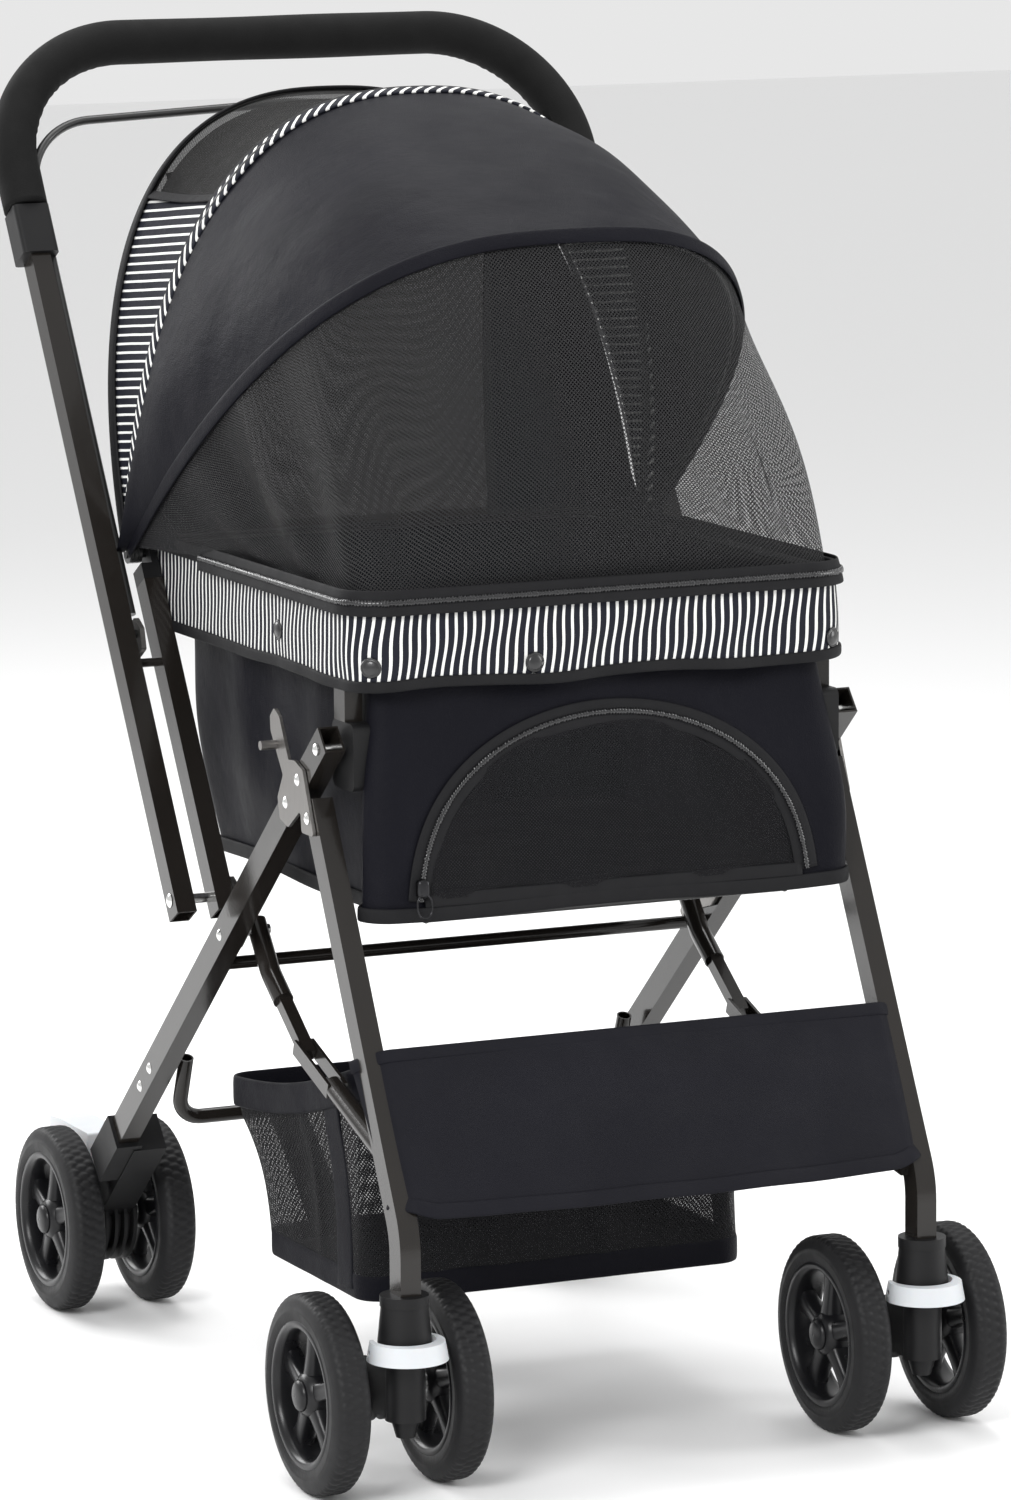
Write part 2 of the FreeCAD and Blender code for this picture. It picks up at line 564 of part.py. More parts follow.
def tub_loft(inset, low, high):
    """The cabin's tapering shape between two heights, inset on every side."""
    wires = []
    for z in (low, high):
        part = (z - s.tub_floor) / (s.rim_height - s.tub_floor)
        front = s.floor_front + (s.rim_front + 8 - s.floor_front) * part + inset
        rear = s.floor_rear + (s.rim_rear - 8 - s.floor_rear) * part - inset
        half_width = s.tub_floor_half_width + (s.tub_half_width - s.tub_floor_half_width) * part
        wires.append(rounded_rectangle(half_width - inset, front, rear, s.tub_corner - inset, z))
    return Part.makeLoft(wires, True, True)


def door_outline(width, height, bottom):
    """The arched door seen from the front: upright sides that lean in to a round-cornered top."""
    half = width / 2
    return [(-half, bottom), (-half * 0.86, bottom + height * 0.5), (-half * 0.62, bottom + height * 0.9),
            (-half * 0.42, bottom + height), (half * 0.42, bottom + height),
            (half * 0.62, bottom + height * 0.9), (half * 0.86, bottom + height * 0.5), (half, bottom)]


def door_prism(width, height, bottom):
    points = [V(x, s.floor_front - 30, z) for x, z in door_outline(width, height, bottom)]
    return Part.Face(Part.makePolygon(points + points[:1])).extrude(V(0, 70, 0))


DOOR_LOW = s.tub_floor + 14
CAP_LOW = s.rim_height + s.rim_wire / 2 + s.body_gap
TUB_TOP = CAP_LOW + s.cover_wall
tub = tub_loft(0, s.tub_floor, TUB_TOP)
tub = tub.cut(door_prism(s.door_width, s.door_height, DOOR_LOW))
BAND_GROW = s.post_width / 2 + s.body_gap
BAND_LOW = s.rim_height - s.band_height


def band_outline(grow, height):
    """The band's outline, outside the rim wire and the posts."""
    grow += BAND_GROW
    return rounded_rectangle(s.post_plane + grow, s.rim_front - grow, s.rim_rear + grow, s.rim_corner + grow, height)


band = Part.Face(band_outline(s.cover_wall, BAND_LOW)).extrude(V(0, 0, TUB_TOP - BAND_LOW))
band = band.cut(Part.Face(band_outline(0, BAND_LOW)).extrude(V(0, 0, CAP_LOW - BAND_LOW)))
tub = tub.fuse(band).cut(tub_loft(s.tub_wall, s.tub_floor + s.tub_wall, TUB_TOP + 5))
feature(tub, "cabin_tub")
door = tub_loft(0, s.tub_floor, TUB_TOP).cut(tub_loft(2, s.tub_floor - 5, TUB_TOP + 5))
door = door.common(door_prism(s.door_width - 3, s.door_height - 3, DOOR_LOW + 1.5))
feature(door, "front_door")

BOARD_Z = s.tub_floor + s.tub_wall + s.body_gap
board = doc.addObject("Part::Box", "base_board")
bind(board, Length="2 * (sizes.tub_floor_half_width - sizes.board_inset)", Height="sizes.board_thickness",
     Width="sizes.floor_rear - sizes.floor_front - 2 * sizes.board_inset")
board.Placement.Base = V(-(s.tub_floor_half_width - s.board_inset), s.floor_front + s.board_inset, BOARD_Z)
keep(board, "base_board")
rod = s.floor_rod / 2
floor_z = s.tub_floor - rod - s.body_gap
FLOOR_X = 147.0
rods = [pin(-FLOOR_X, FLOOR_X, (y, floor_z), rod) for y in (s.floor_front + 16, s.floor_rear - 16)]
rods += [Part.makeCylinder(rod, s.floor_rear - s.floor_front - 32 + 2 * rod,
                           V(x, s.floor_front + 16 - rod, floor_z), V(0, 1, 0))
         for x in (-FLOOR_X, FLOOR_X)]
floor_frame = rods[0].multiFuse(rods[1:])
feature(floor_frame, "floor_frame")

# ---------------------------------------------------------------- rear posts and handle
REAR_LATCH = lean(s.handle_lean + s.latch_offset, HANDLE_PIVOT, s.latch_radius)
POST_WIDTH = s.leg_width - 1
POST_END = s.rear_post_length - 26
rear_posts = []
for _, side in SIDES:
    post = bar_tube(side * s.leg_plane, lean(s.handle_lean, HANDLE_PIVOT, -14),
                    lean(s.handle_lean, HANDLE_PIVOT, POST_END), POST_WIDTH, s.front_leg_depth, s.tube_wall)
    post = post.cut(pin(side * (LEG_IN - 1), side * (LEG_OUT + 1), HANDLE_PIVOT, PIN))
    latch = pin(side * (s.leg_plane + POST_WIDTH / 2 - 1), side * LATCH_END, REAR_LATCH, 3.5)
    rear_posts.append(post.fuse(latch).removeSplitter())
group(rear_posts, "rear_posts")


def handle_point(x, length):
    return V(x, *lean(s.handle_lean, HANDLE_PIVOT, length))


def handle_wire(start):
    x = s.handle_plane
    return [handle_point(-x, start), handle_point(-x, s.handle_length), handle_point(x, s.handle_length),
            handle_point(x, start)]


def handle_sweep(start, width, depth):
    """A rectangular section carried round the U of the handle."""
    points = handle_wire(start)
    frame = turn_to((0, 0), lean(s.handle_lean, (0, 0), 1))
    corners = [frame.multVec(V(dx, dy, 0)) + points[0] for dx, dy in (
        (-width / 2, -depth / 2), (width / 2, -depth / 2), (width / 2, depth / 2), (-width / 2, depth / 2))]
    profile = Part.makePolygon(corners + corners[:1])
    return path(points, s.handle_corner).makePipeShell([profile], True, True)


outer = handle_sweep(-14, s.handle_width, s.handle_depth)
inner = handle_sweep(-15, s.handle_width - 2 * s.tube_wall, s.handle_depth - 2 * s.tube_wall)
handle = outer.cut(inner)
handle = handle.cut(pin(-300, 300, HANDLE_PIVOT, LOOSE))
feature(handle, "handle_tube")

ROD_X = s.handle_plane - s.handle_width / 2 - s.release_rod / 2 - 1
collars = []
for _, side in SIDES:
    centre = handle_point(side * s.handle_plane, s.collar_start)
    box = Part.makeBox(s.handle_width + 14, s.handle_depth + 8, s.collar_length,
                       V(-(s.handle_width + 14) / 2, -(s.handle_depth + 8) / 2, 0))
    box = rounded(box, 4, V(0, 0, 1))
    hole = Part.makeBox(s.handle_width, s.handle_depth, s.collar_length,
                        V(-s.handle_width / 2, -s.handle_depth / 2, 0))
    bore = Part.makeCylinder(s.release_rod / 2 + s.running_clearance, s.collar_length,
                             V(side * (ROD_X - s.handle_plane), 0, 0))
    box = box.cut(hole).cut(bore)
    box.Placement = FreeCAD.Placement(centre, turn_to((0, 0), lean(s.handle_lean, (0, 0), 1)))
    collars.append(box)
group(collars, "handle_collars")

release_points = [handle_point(-ROD_X, s.latch_radius + 38), handle_point(-ROD_X, s.release_length - 8),
                  handle_point(0, s.release_length + 4), handle_point(ROD_X, s.release_length - 8),
                  handle_point(ROD_X, s.latch_radius + 38)]
feature(pipe(release_points, s.release_rod / 2, 60), "release_bar")
grip_points = handle_wire(s.grip_start)
grip = pipe(grip_points, s.grip_diameter / 2, s.handle_corner)
grip = grip.cut(handle_sweep(s.grip_start - 5, s.handle_width, s.handle_depth))
GROOVE_LENGTH = 70
half_groove = s.release_rod / 2 + s.body_gap
for _, side in SIDES:
    inner, outer = s.handle_plane - s.grip_diameter / 2 - 2, ROD_X + half_groove
    groove = Part.makeBox(outer - inner, 2 * half_groove, GROOVE_LENGTH,
                          V(inner if side > 0 else -outer, -half_groove, 0))
    groove.Placement = FreeCAD.Placement(handle_point(0, s.grip_start - 5), turn_to((0, 0), lean(s.handle_lean, (0, 0), 1)))
    grip = grip.cut(groove)
feature(grip, "handle_grip")

# Latch hooks: a plate on each side that turns on the handle above the lock pin.
HOOK_PIVOT = along(HANDLE_PIVOT, CANOPY_PIVOT, s.latch_radius + 20, -5)
HOOK_LOW = s.latch_radius + 4.2
hooks = []
hook_pins = []
for _, side in SIDES:
    hook = plate(side * (LATCH_END - 5), side * (LATCH_END - 1), [
        along(HANDLE_PIVOT, CANOPY_PIVOT, HOOK_LOW, 14), along(HANDLE_PIVOT, CANOPY_PIVOT, HOOK_LOW + 14, 15),
        along(HANDLE_PIVOT, CANOPY_PIVOT, HOOK_LOW + 26, 4), along(HANDLE_PIVOT, CANOPY_PIVOT, HOOK_LOW + 28, -8),
        along(HANDLE_PIVOT, CANOPY_PIVOT, HOOK_LOW + 16, -15), along(HANDLE_PIVOT, CANOPY_PIVOT, HOOK_LOW, -10)])
    hook = rounded(hook, 2)
    hooks.append(hook.cut(pin(side * (LATCH_END - 8), side * (LATCH_END + 2), HOOK_PIVOT, 3.05)))
    hook_pins.append(pin(side * (LATCH_END - 6), side * (LATCH_END + 1.5), HOOK_PIVOT, 3))
group(hooks, "handle_hooks")

# ---------------------------------------------------------------- canopy
EYELET = 8.0
HOOP_START = 22.0


def hoop_points(length, lean_angle, half_width, count, grow=0.0):
    """Points round a bow: a superellipse in a plane that leans about the canopy pivot."""
    points = []
    for i in range(count + 1):
        t = math.pi * i / count
        x = -math.copysign(abs(math.cos(t)) ** (2 / 2.6), math.cos(t)) * (half_width + grow)
        reach = math.sin(t) ** (2 / 2.6) * (length + grow)
        points.append(V(x, *lean(lean_angle, CANOPY_PIVOT, reach)))
    return points


def hoop(label, length, lean_angle, step):
    """A bow of spring wire with a flat eyelet at each end, on the canopy pivot."""
    half_width = s.hoop_half_width + step * s.hoop_step
    points = [p for p in hoop_points(length, lean_angle, half_width, 24)
              if math.hypot(p.y - CANOPY_PIVOT[0], p.z - CANOPY_PIVOT[1]) > HOOP_START]
    ends = [V(side * half_width, *lean(lean_angle, CANOPY_PIVOT, HOOP_START)) for _, side in SIDES]
    curve = Part.BSplineCurve()
    curve.interpolate([ends[0]] + points + [ends[1]])
    wire = Part.Wire(curve.toShape())
    ring = Part.Wire(Part.makeCircle(s.hoop_wire / 2, ends[0], curve.tangent(curve.FirstParameter)[0]))
    bow = wire.makePipeShell([ring], True, True)
    for _, side in SIDES:
        x0, x1 = side * (half_width - 1.5), side * (half_width + 1.5)
        strip = bar(side * half_width, CANOPY_PIVOT, lean(lean_angle, CANOPY_PIVOT, HOOP_START + 4), 3, 6)
        bow = bow.multiFuse([pin(x0, x1, CANOPY_PIVOT, EYELET), strip])
        bow = bow.cut(pin(side * (half_width - 4), side * (half_width + 4), CANOPY_PIVOT, LOOSE))
    return feature(bow.removeSplitter(), label)


def skin(rows_out, rows_in, label):
    """A closed thin solid between two grids of points of the same size."""
    faces = []

    def quad(a, b, c, d):
        for three in ((a, b, c), (a, c, d)):
            if (three[1] - three[0]).cross(three[2] - three[0]).Length > 1e-6:
                faces.append(Part.Face(Part.makePolygon(list(three) + [three[0]])))

    last_row, last = len(rows_out) - 1, len(rows_out[0]) - 1
    for i in range(last_row):
        for j in range(last):
            quad(rows_out[i][j], rows_out[i][j + 1], rows_out[i + 1][j + 1], rows_out[i + 1][j])
            quad(rows_in[i][j], rows_in[i + 1][j], rows_in[i + 1][j + 1], rows_in[i][j + 1])
        for j, flip in ((0, False), (last, True)):
            ring = [rows_out[i][j], rows_out[i + 1][j], rows_in[i + 1][j], rows_in[i][j]]
            quad(*(ring[::-1] if flip else ring))
    for i, flip in ((0, True), (last_row, False)):
        for j in range(last):
            ring = [rows_out[i][j], rows_out[i][j + 1], rows_in[i][j + 1], rows_in[i][j]]
            quad(*(ring[::-1] if flip else ring))
    shell = Part.makeShell(faces)
    shell.sewShape()
    solid = Part.makeSolid(shell)
    if solid.Volume < 0:
        solid.reverse()
    return feature(solid, label)


HOOP_GAP = s.hoop_wire / 2 + s.hoop_step + s.body_gap
hoop("rear_hoop", s.rear_hoop_length, s.rear_hoop_lean, -1)
hoop("mid_hoop", s.mid_hoop_length, s.mid_hoop_lean, 0)
hoop("front_hoop", s.front_hoop_length, s.front_hoop_lean, 1)


def cover(label, first, second):
    """Fabric between two bows: rows of points that lean from one bow to the other."""
    rows_out, rows_in = [], []
    for k in range(5):
        part = k / 4
        length = first[0] + (second[0] - first[0]) * part
        angle = first[1] + (second[1] - first[1]) * part
        bulge = 4 * math.sin(math.pi * part)
        for rows, grow in ((rows_out, HOOP_GAP + s.cover_thickness - bulge), (rows_in, HOOP_GAP - bulge)):
            points = hoop_points(length, angle, s.hoop_half_width, 36, grow)
            rows.append(points[1:-1])
    return skin(rows_out, rows_in, label)


REAR = (s.rear_hoop_length, s.rear_hoop_lean)
MID = (s.mid_hoop_length, s.mid_hoop_lean)
FRONT = (s.front_hoop_length, s.front_hoop_lean)
cover("canopy_rear", REAR, (MID[0], MID[1] + 1))
cover("canopy_front", (MID[0], MID[1] - 1), FRONT)


def mesh_rows(grow):
    """Mesh screen from the front bow down to the front of the rim."""
    rows = []
    top = hoop_points(FRONT[0], FRONT[1] - 1, s.hoop_half_width, 20, grow)[2:-2]
    for k in range(5):
        part = k / 4
        row = []
        for i, point in enumerate(top):
            t = math.pi * i / (len(top) - 1)
            x = -math.cos(t) * (s.post_plane + grow - 2)
            y = s.rim_front + 60 - math.sin(t) ** 0.5 * (62 + grow)
            target = V(x, y, s.rim_height + 8)
            bulge = 18 * math.sin(math.pi * part)
            mixed = point * (1 - part) + target * part
            row.append(mixed + V(0, -bulge * 0.6, bulge))
        rows.append(row)
    return rows


skin(mesh_rows(HOOP_GAP + s.cover_thickness), mesh_rows(HOOP_GAP), "canopy_mesh")
hubs = []
for _, side in SIDES:
    cap = bar(side * s.leg_plane, lean(s.handle_lean, HANDLE_PIVOT, POST_END),
              lean(s.handle_lean, HANDLE_PIVOT, s.rear_post_length - 13), POST_WIDTH, s.front_leg_depth)
    arm = bar(side * (s.leg_plane - 4.5), lean(s.handle_lean, HANDLE_PIVOT, POST_END),
              lean(s.handle_lean, HANDLE_PIVOT, s.rear_post_length), 6, s.front_leg_depth)
    head = pin(side * (s.leg_plane - 7.5), side * (s.leg_plane - 1.5), CANOPY_PIVOT, 11)
    hub_pin = pin(side * (s.leg_plane - 1.5), side * (s.hoop_half_width + s.hoop_step + 3), CANOPY_PIVOT, PIN)
    hubs.append(cap.multiFuse([arm, head, hub_pin]).removeSplitter())
group(hubs, "canopy_hubs")

# ---------------------------------------------------------------- basket and front panel
def basket_loft(inset, low, high):
    wires = []
    for z in (low, high):
        part = (z - s.basket_bottom) / (s.basket_front_top - s.basket_bottom)
        front = s.basket_front + 14 * (1 - part) + inset
        rear = s.basket_rear - 54 * (1 - 1.5 * part) - inset
        wires.append(rounded_rectangle(s.basket_half_width - inset - 8 * (1 - part), front, rear, 22, z))
    return Part.makeLoft(wires, True, True)


slope = (s.basket_front_top - s.basket_rear_top) / (s.basket_rear - s.basket_front)
rim_back, rim_ahead = s.basket_rear + 80, s.basket_front - 50
basket = basket_loft(0, s.basket_bottom, s.basket_front_top + 8).cut(
    basket_loft(2, s.basket_bottom + 2, s.basket_front_top + 9))
basket = basket.cut(plate(-300, 300, [
    (rim_back, s.basket_rear_top - 80 * slope), (rim_ahead, s.basket_front_top + 50 * slope),
    (rim_ahead, s.basket_front_top + 200), (rim_back, s.basket_front_top + 200)]))
feature(basket, "storage_basket")

panel_top = along(LEG_PIVOT, LEG_BEND, (LEG_PIVOT[1] - s.panel_top) / 0.894)
panel_low = along(LEG_PIVOT, LEG_BEND, (LEG_PIVOT[1] - s.panel_bottom) / 0.894)
gap = s.front_leg_depth / 2 + s.body_gap
mid_gap = gap + s.panel_thickness / 2
front_panel = bar(0, along(LEG_PIVOT, LEG_BEND, span(LEG_PIVOT, panel_low), mid_gap),
                  along(LEG_PIVOT, LEG_BEND, span(LEG_PIVOT, panel_top), mid_gap),
                  2 * LEG_OUT + 6, s.panel_thickness)
feature(front_panel, "front_panel")

# ---------------------------------------------------------------- pivot pins and rivets
fixed_pins = []
for _, side in SIDES:
    fixed_pins.append(pin(side * (s.post_plane - 9), side * (LEG_OUT + 1), CABIN_PIVOT, PIN))
    fixed_pins.append(pin(side * (LEG_IN - 1), side * (PLATE_OUT + 0.5), LEG_PIVOT, PIN))
    fixed_pins.append(pin(side * (s.strut_plane - 9), side * LEG_IN, BRACKET_PIVOT, PIN))
    fixed_pins.append(pin(side * (LEG_IN - 3.5), side * (s.handle_plane + s.handle_width / 2 + 0.5),
                          HANDLE_PIVOT, PIN))
    fixed_pins.append(rivet(side * (LEG_OUT + 1), side, CABIN_PIVOT))
    fixed_pins.append(rivet(side * PLATE_OUT + side * 0.5, side, LEG_PIVOT))
    fixed_pins += [rivet(side * PLATE_OUT, side, point) for point in (RIVET_HIGH, RIVET_LOW)]
    fixed_pins += [rivet(side * LEG_OUT, side, along(REAR_AXLE, CABIN_PIVOT, distance))
                   for distance in (210, 238, 440)]
    fixed_pins.append(rivet(side * (s.handle_plane + s.handle_width / 2 + 0.5), side, HANDLE_PIVOT, 5.5, 2))
group(fixed_pins + pedal_pins, "frame_rivets")
nodes["handle_collars"].Shape = Part.makeCompound(nodes["handle_collars"].Shape.Solids + hook_pins)

doc.recompute()

# The whole model is moved along Y, so that the origin lies under the middle of its box.
box = FreeCAD.BoundBox()
for obj in nodes.values():
    box.add(obj.Shape.optimalBoundingBox(True, False))
CENTRE = V(0, -round((box.YMin + box.YMax) / 2, 1), -box.ZMin)
for obj in nodes.values():
    obj.Placement = FreeCAD.Placement(CENTRE, FreeCAD.Rotation()).multiply(obj.Placement)
doc.recompute()

os.makedirs("parts", exist_ok=True)
for label, obj in nodes.items():
    shape = obj.Shape
    states = [one.State for one in [obj] + list(obj.OutListRecursive)]
    if shape.isNull() or not shape.isValid() or any("Invalid" in one or "Error" in one for one in states):
        raise RuntimeError("bad shape: " + label)
for label, obj in nodes.items():
    obj.Shape.exportStep(os.path.join("parts", label + ".step"))
    print(label, len(obj.Shape.Solids), round(obj.Shape.Volume))
for name, point in (("cabin", CABIN_PIVOT), ("leg", LEG_PIVOT), ("handle", HANDLE_PIVOT),
                    ("bracket", BRACKET_PIVOT), ("knee", KNEE), ("canopy", CANOPY_PIVOT), ("hook", HOOK_PIVOT),
                    ("pedal", PEDAL_PIVOT), ("lever", (s.caster_y, LEVER_Z)), ("front_axle", FRONT_AXLE),
                    ("rear_axle", REAR_AXLE), ("door", (s.floor_front, DOOR_LOW)),
                    ("grip", (handle_point(0, s.handle_length).y, handle_point(0, s.handle_length).z))):
    print("PIVOT", name, round(point[0] + CENTRE.y, 4), round(point[1] + CENTRE.z, 4))
print(len(nodes), "nodes", CENTRE, box)
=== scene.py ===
import json
import math

import bpy
import numpy as np
from mathutils import Matrix, Vector

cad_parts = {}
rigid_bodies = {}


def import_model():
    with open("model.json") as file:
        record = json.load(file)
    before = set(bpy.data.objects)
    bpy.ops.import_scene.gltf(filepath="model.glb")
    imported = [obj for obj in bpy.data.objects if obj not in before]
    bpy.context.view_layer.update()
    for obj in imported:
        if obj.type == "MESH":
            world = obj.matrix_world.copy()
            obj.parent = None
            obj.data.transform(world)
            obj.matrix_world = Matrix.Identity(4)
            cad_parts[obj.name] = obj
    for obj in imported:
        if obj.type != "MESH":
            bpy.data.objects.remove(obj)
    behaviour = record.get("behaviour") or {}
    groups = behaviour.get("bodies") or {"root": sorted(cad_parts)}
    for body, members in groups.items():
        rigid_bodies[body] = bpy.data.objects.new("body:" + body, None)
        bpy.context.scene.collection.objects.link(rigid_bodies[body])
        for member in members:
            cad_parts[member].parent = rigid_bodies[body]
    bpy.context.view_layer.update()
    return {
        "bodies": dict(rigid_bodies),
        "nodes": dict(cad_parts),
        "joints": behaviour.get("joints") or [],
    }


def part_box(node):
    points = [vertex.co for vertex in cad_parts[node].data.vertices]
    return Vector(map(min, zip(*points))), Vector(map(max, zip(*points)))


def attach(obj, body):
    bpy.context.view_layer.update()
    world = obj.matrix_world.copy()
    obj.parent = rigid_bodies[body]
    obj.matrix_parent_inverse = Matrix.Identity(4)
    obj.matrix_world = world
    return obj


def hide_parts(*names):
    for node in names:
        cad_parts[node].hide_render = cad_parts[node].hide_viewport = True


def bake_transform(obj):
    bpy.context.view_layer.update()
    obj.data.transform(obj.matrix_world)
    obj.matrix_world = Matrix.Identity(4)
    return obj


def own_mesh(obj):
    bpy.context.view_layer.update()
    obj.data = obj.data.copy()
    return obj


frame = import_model()
nodes = frame["nodes"]
joints = {joint["name"]: joint for joint in frame["joints"]}

# ------------------------------------------------------------------ studio
# A pale floor and large soft lamps. The camera stands a little higher than the handle, in front
# of the stroller and to its -X side, with a long lens.
CAMERA_TARGET = Vector((0.0257, -0.0129, 0.4853))
CAMERA_BACK = Vector((-0.40310, -0.90114, 0.15954))
CAMERA_RIGHT = Vector((0.91232, -0.40941, -0.00741))
CAMERA_UP = Vector((0.07199, 0.14256, 0.98716))
CAMERA_DISTANCE = 5.375
camera_data = bpy.data.cameras.new("camera")
camera_data.sensor_fit = "VERTICAL"
camera_data.sensor_height = 36.0
camera_data.lens = 166.39
camera_data.shift_x = 0.0021
camera_data.shift_y = 0.0011
camera_data.clip_end = 60.0
camera = bpy.data.objects.new("camera", camera_data)
bpy.context.scene.collection.objects.link(camera)
turn = Matrix((CAMERA_RIGHT, CAMERA_UP, CAMERA_BACK)).transposed()
camera.matrix_world = Matrix.Translation(CAMERA_TARGET + CAMERA_BACK * CAMERA_DISTANCE) @ turn.to_4x4()
bpy.context.scene.camera = camera
bpy.context.scene.view_settings.view_transform = "Standard"


class Signal:
    """A number that travels along a shader link. The usual signs add Math nodes to it."""

    def __init__(self, shader, socket):
        self.shader = shader
        self.socket = socket

    def math(self, operation, *others):
        return self.shader.node("ShaderNodeMath", {"operation": operation}, {
            index: value for index, value in enumerate((self,) + others)})

    def __add__(self, other):
        return self.math("ADD", other)

    def __sub__(self, other):
        return self.math("SUBTRACT", other)

    def __rsub__(self, other):
        return (self * -1.0).math("ADD", other)

    def __mul__(self, other):
        return self.math("MULTIPLY", other)

    __radd__ = __add__
    __rmul__ = __mul__

    def __lt__(self, other):
        return self.math("LESS_THAN", other)

    def __gt__(self, other):
        return self.math("GREATER_THAN", other)

    def wave(self, period):
        """A sine of this number, from 0 to 1."""
        return (self * (2 * math.pi / period)).math("SINE") * 0.5 + 0.5

    def saw(self, period):
        """How far along its period this number is, from 0 to 1."""
        return (self * (1.0 / period)).math("FRACT")


class Shader:
    """One material: its Principled shader's constants, and what varies over the surface."""

    def __init__(self, name, color, roughness, **constants):
        self.material = bpy.data.materials.new(name)
        self.material.use_nodes = True
        self.tree = self.material.node_tree
        self.surface = self.tree.nodes["Principled BSDF"]
        self.put("Base Color", (*color, 1.0))
        self.put("Roughness", roughness)
        for key, value in constants.items():
            self.put(key.replace("_", " ").title().replace("Ior", "IOR"), value)

    def put(self, socket, value):
        target = self.surface.inputs[socket]
        if isinstance(value, Signal):
            self.tree.links.new(value.socket, target)
        else:
            target.default_value = value

    def node(self, kind, settings=None, inputs=None, output=0):
        """Any node: its settings are made first, and then its sockets are filled or linked."""
        made = self.tree.nodes.new(kind)
        for key, value in (settings or {}).items():
            setattr(made, key, value)
        for key, value in (inputs or {}).items():
            if isinstance(value, Signal):
                self.tree.links.new(value.socket, made.inputs[key])
            else:
                made.inputs[key].default_value = value
        return Signal(self, made.outputs[output])

    def place(self, source="Object"):
        """Object coordinates, or the piece's own UV map, as three numbers in metres."""
        vector = self.node("ShaderNodeTexCoord", output={"Object": 3, "UV": 2}[source])
        split = self.tree.nodes.new("ShaderNodeSeparateXYZ")
        self.tree.links.new(vector.socket, split.inputs[0])
        return vector, [Signal(self, out) for out in split.outputs]

    def noise(self, vector, scale, detail=3.0):
        return self.node("ShaderNodeTexNoise", {"noise_dimensions": "3D"}, {
            "Vector": vector, "Scale": scale, "Detail": detail})

    def tint(self, mask, dark, light):
        """A colour between two, by a mask."""
        return self.node("ShaderNodeMix", {"data_type": "RGBA"}, {
            0: mask, 6: (*dark, 1.0), 7: (*light, 1.0)}, output=2)

    def bump(self, height, distance, strength=1.0):
        self.put("Normal", self.node("ShaderNodeBump", {}, {
            "Height": height, "Distance": distance, "Strength": strength}))

    def uneven(self, scale, spread, low):
        """Roughness that wanders from low to low + spread in patches. Gives Object coordinates."""
        vector, _ = self.place()
        self.put("Roughness", self.noise(vector, scale) * spread + low)
        return vector

    def grained(self, vector, scale, distance, strength, detail=3.0):
        """A fine grain in relief."""
        self.bump(self.noise(vector, scale, detail), distance, strength)


def lamp(name, place, aim, size, power):
    data = bpy.data.lights.new(name, "AREA")
    data.shape = "RECTANGLE"
    data.size, data.size_y = size
    data.energy = power
    made = bpy.data.objects.new(name, data)
    bpy.context.scene.collection.objects.link(made)
    made.location = place
    made.rotation_euler = (Vector(aim) - Vector(place)).to_track_quat("-Z", "Y").to_euler()


lamp("key", (-2.4, -2.4, 2.4), (0, 0, 0.5), (1.3, 1.3), 90)
lamp("fill", (2.8, -1.6, 1.5), (0, 0, 0.5), (1.0, 2.0), 45)
lamp("top", (0.2, 0.8, 3.0), (0, 0, 0.5), (2.0, 2.0), 60)
lamp("back", (-1.4, 2.8, 1.9), (0, 0, 0.7), (1.8, 1.4), 60)
world = bpy.data.worlds.new("studio")
world.use_nodes = True
world.node_tree.nodes["Background"].inputs[0].default_value = (1.0, 1.0, 1.0, 1.0)
world.node_tree.nodes["Background"].inputs[1].default_value = 0.8
bpy.context.scene.world = world

floor_shader = Shader("studio_floor", (0.9, 0.9, 0.9), 0.6)
floor_shader.uneven(3.0, 0.1, 0.55)
FLOOR = 14.0
floor_mesh = bpy.data.meshes.new("studio_floor")
floor_mesh.from_pydata([(-FLOOR, -FLOOR, 0), (FLOOR, -FLOOR, 0), (FLOOR, FLOOR, 0), (-FLOOR, FLOOR, 0)],
                       [], [(0, 1, 2, 3)])
floor_mesh.materials.append(floor_shader.material)
floor = bpy.data.objects.new("studio_floor", floor_mesh)
bpy.context.scene.collection.objects.link(floor)

# ------------------------------------------------------------------ painted tubes and wires
# Rectangular steel tube and round spring wire, bent, punched and powder painted in a dark
# brown-grey gloss. The paint is slightly uneven and catches long soft reflections.
paint = Shader("brown_grey_gloss_paint", (0.012, 0.010, 0.009), 0.2,
               specular_ior_level=0.35, coat_weight=0.12, coat_roughness=0.08)
paint_vector = paint.uneven(60.0, 0.1, 0.13)
paint.put("Base Color", paint.tint(paint.noise(paint_vector, 9.0),
                                   (0.009, 0.0078, 0.0068), (0.016, 0.0136, 0.0118)))
paint.grained(paint_vector, 420.0, 0.0002, 0.25, 2.0)

wire_paint = Shader("black_wire_paint", (0.012, 0.012, 0.012), 0.38, coat_weight=0.3,
                    coat_roughness=0.2)
wire_paint.grained(wire_paint.uneven(80.0, 0.2, 0.3), 500.0, 0.0002, 0.25, 2.0)


def finish_nodes(shader, *names):
    """The CAD pieces keep their shape and take a finished material."""
    for name in names:
        mesh = nodes[name].data
        mesh.materials.clear()
        mesh.materials.append(shader.material)


finish_nodes(paint, "rear_legs", "front_legs", "front_posts", "rear_posts", "handle_tube", "basket_tube",
             "rear_cross_bar", "front_cross_bar", "rear_struts", "front_struts")
finish_nodes(wire_paint, "rim_frame", "floor_frame", "rear_hoop", "mid_hoop", "front_hoop", "release_bar")

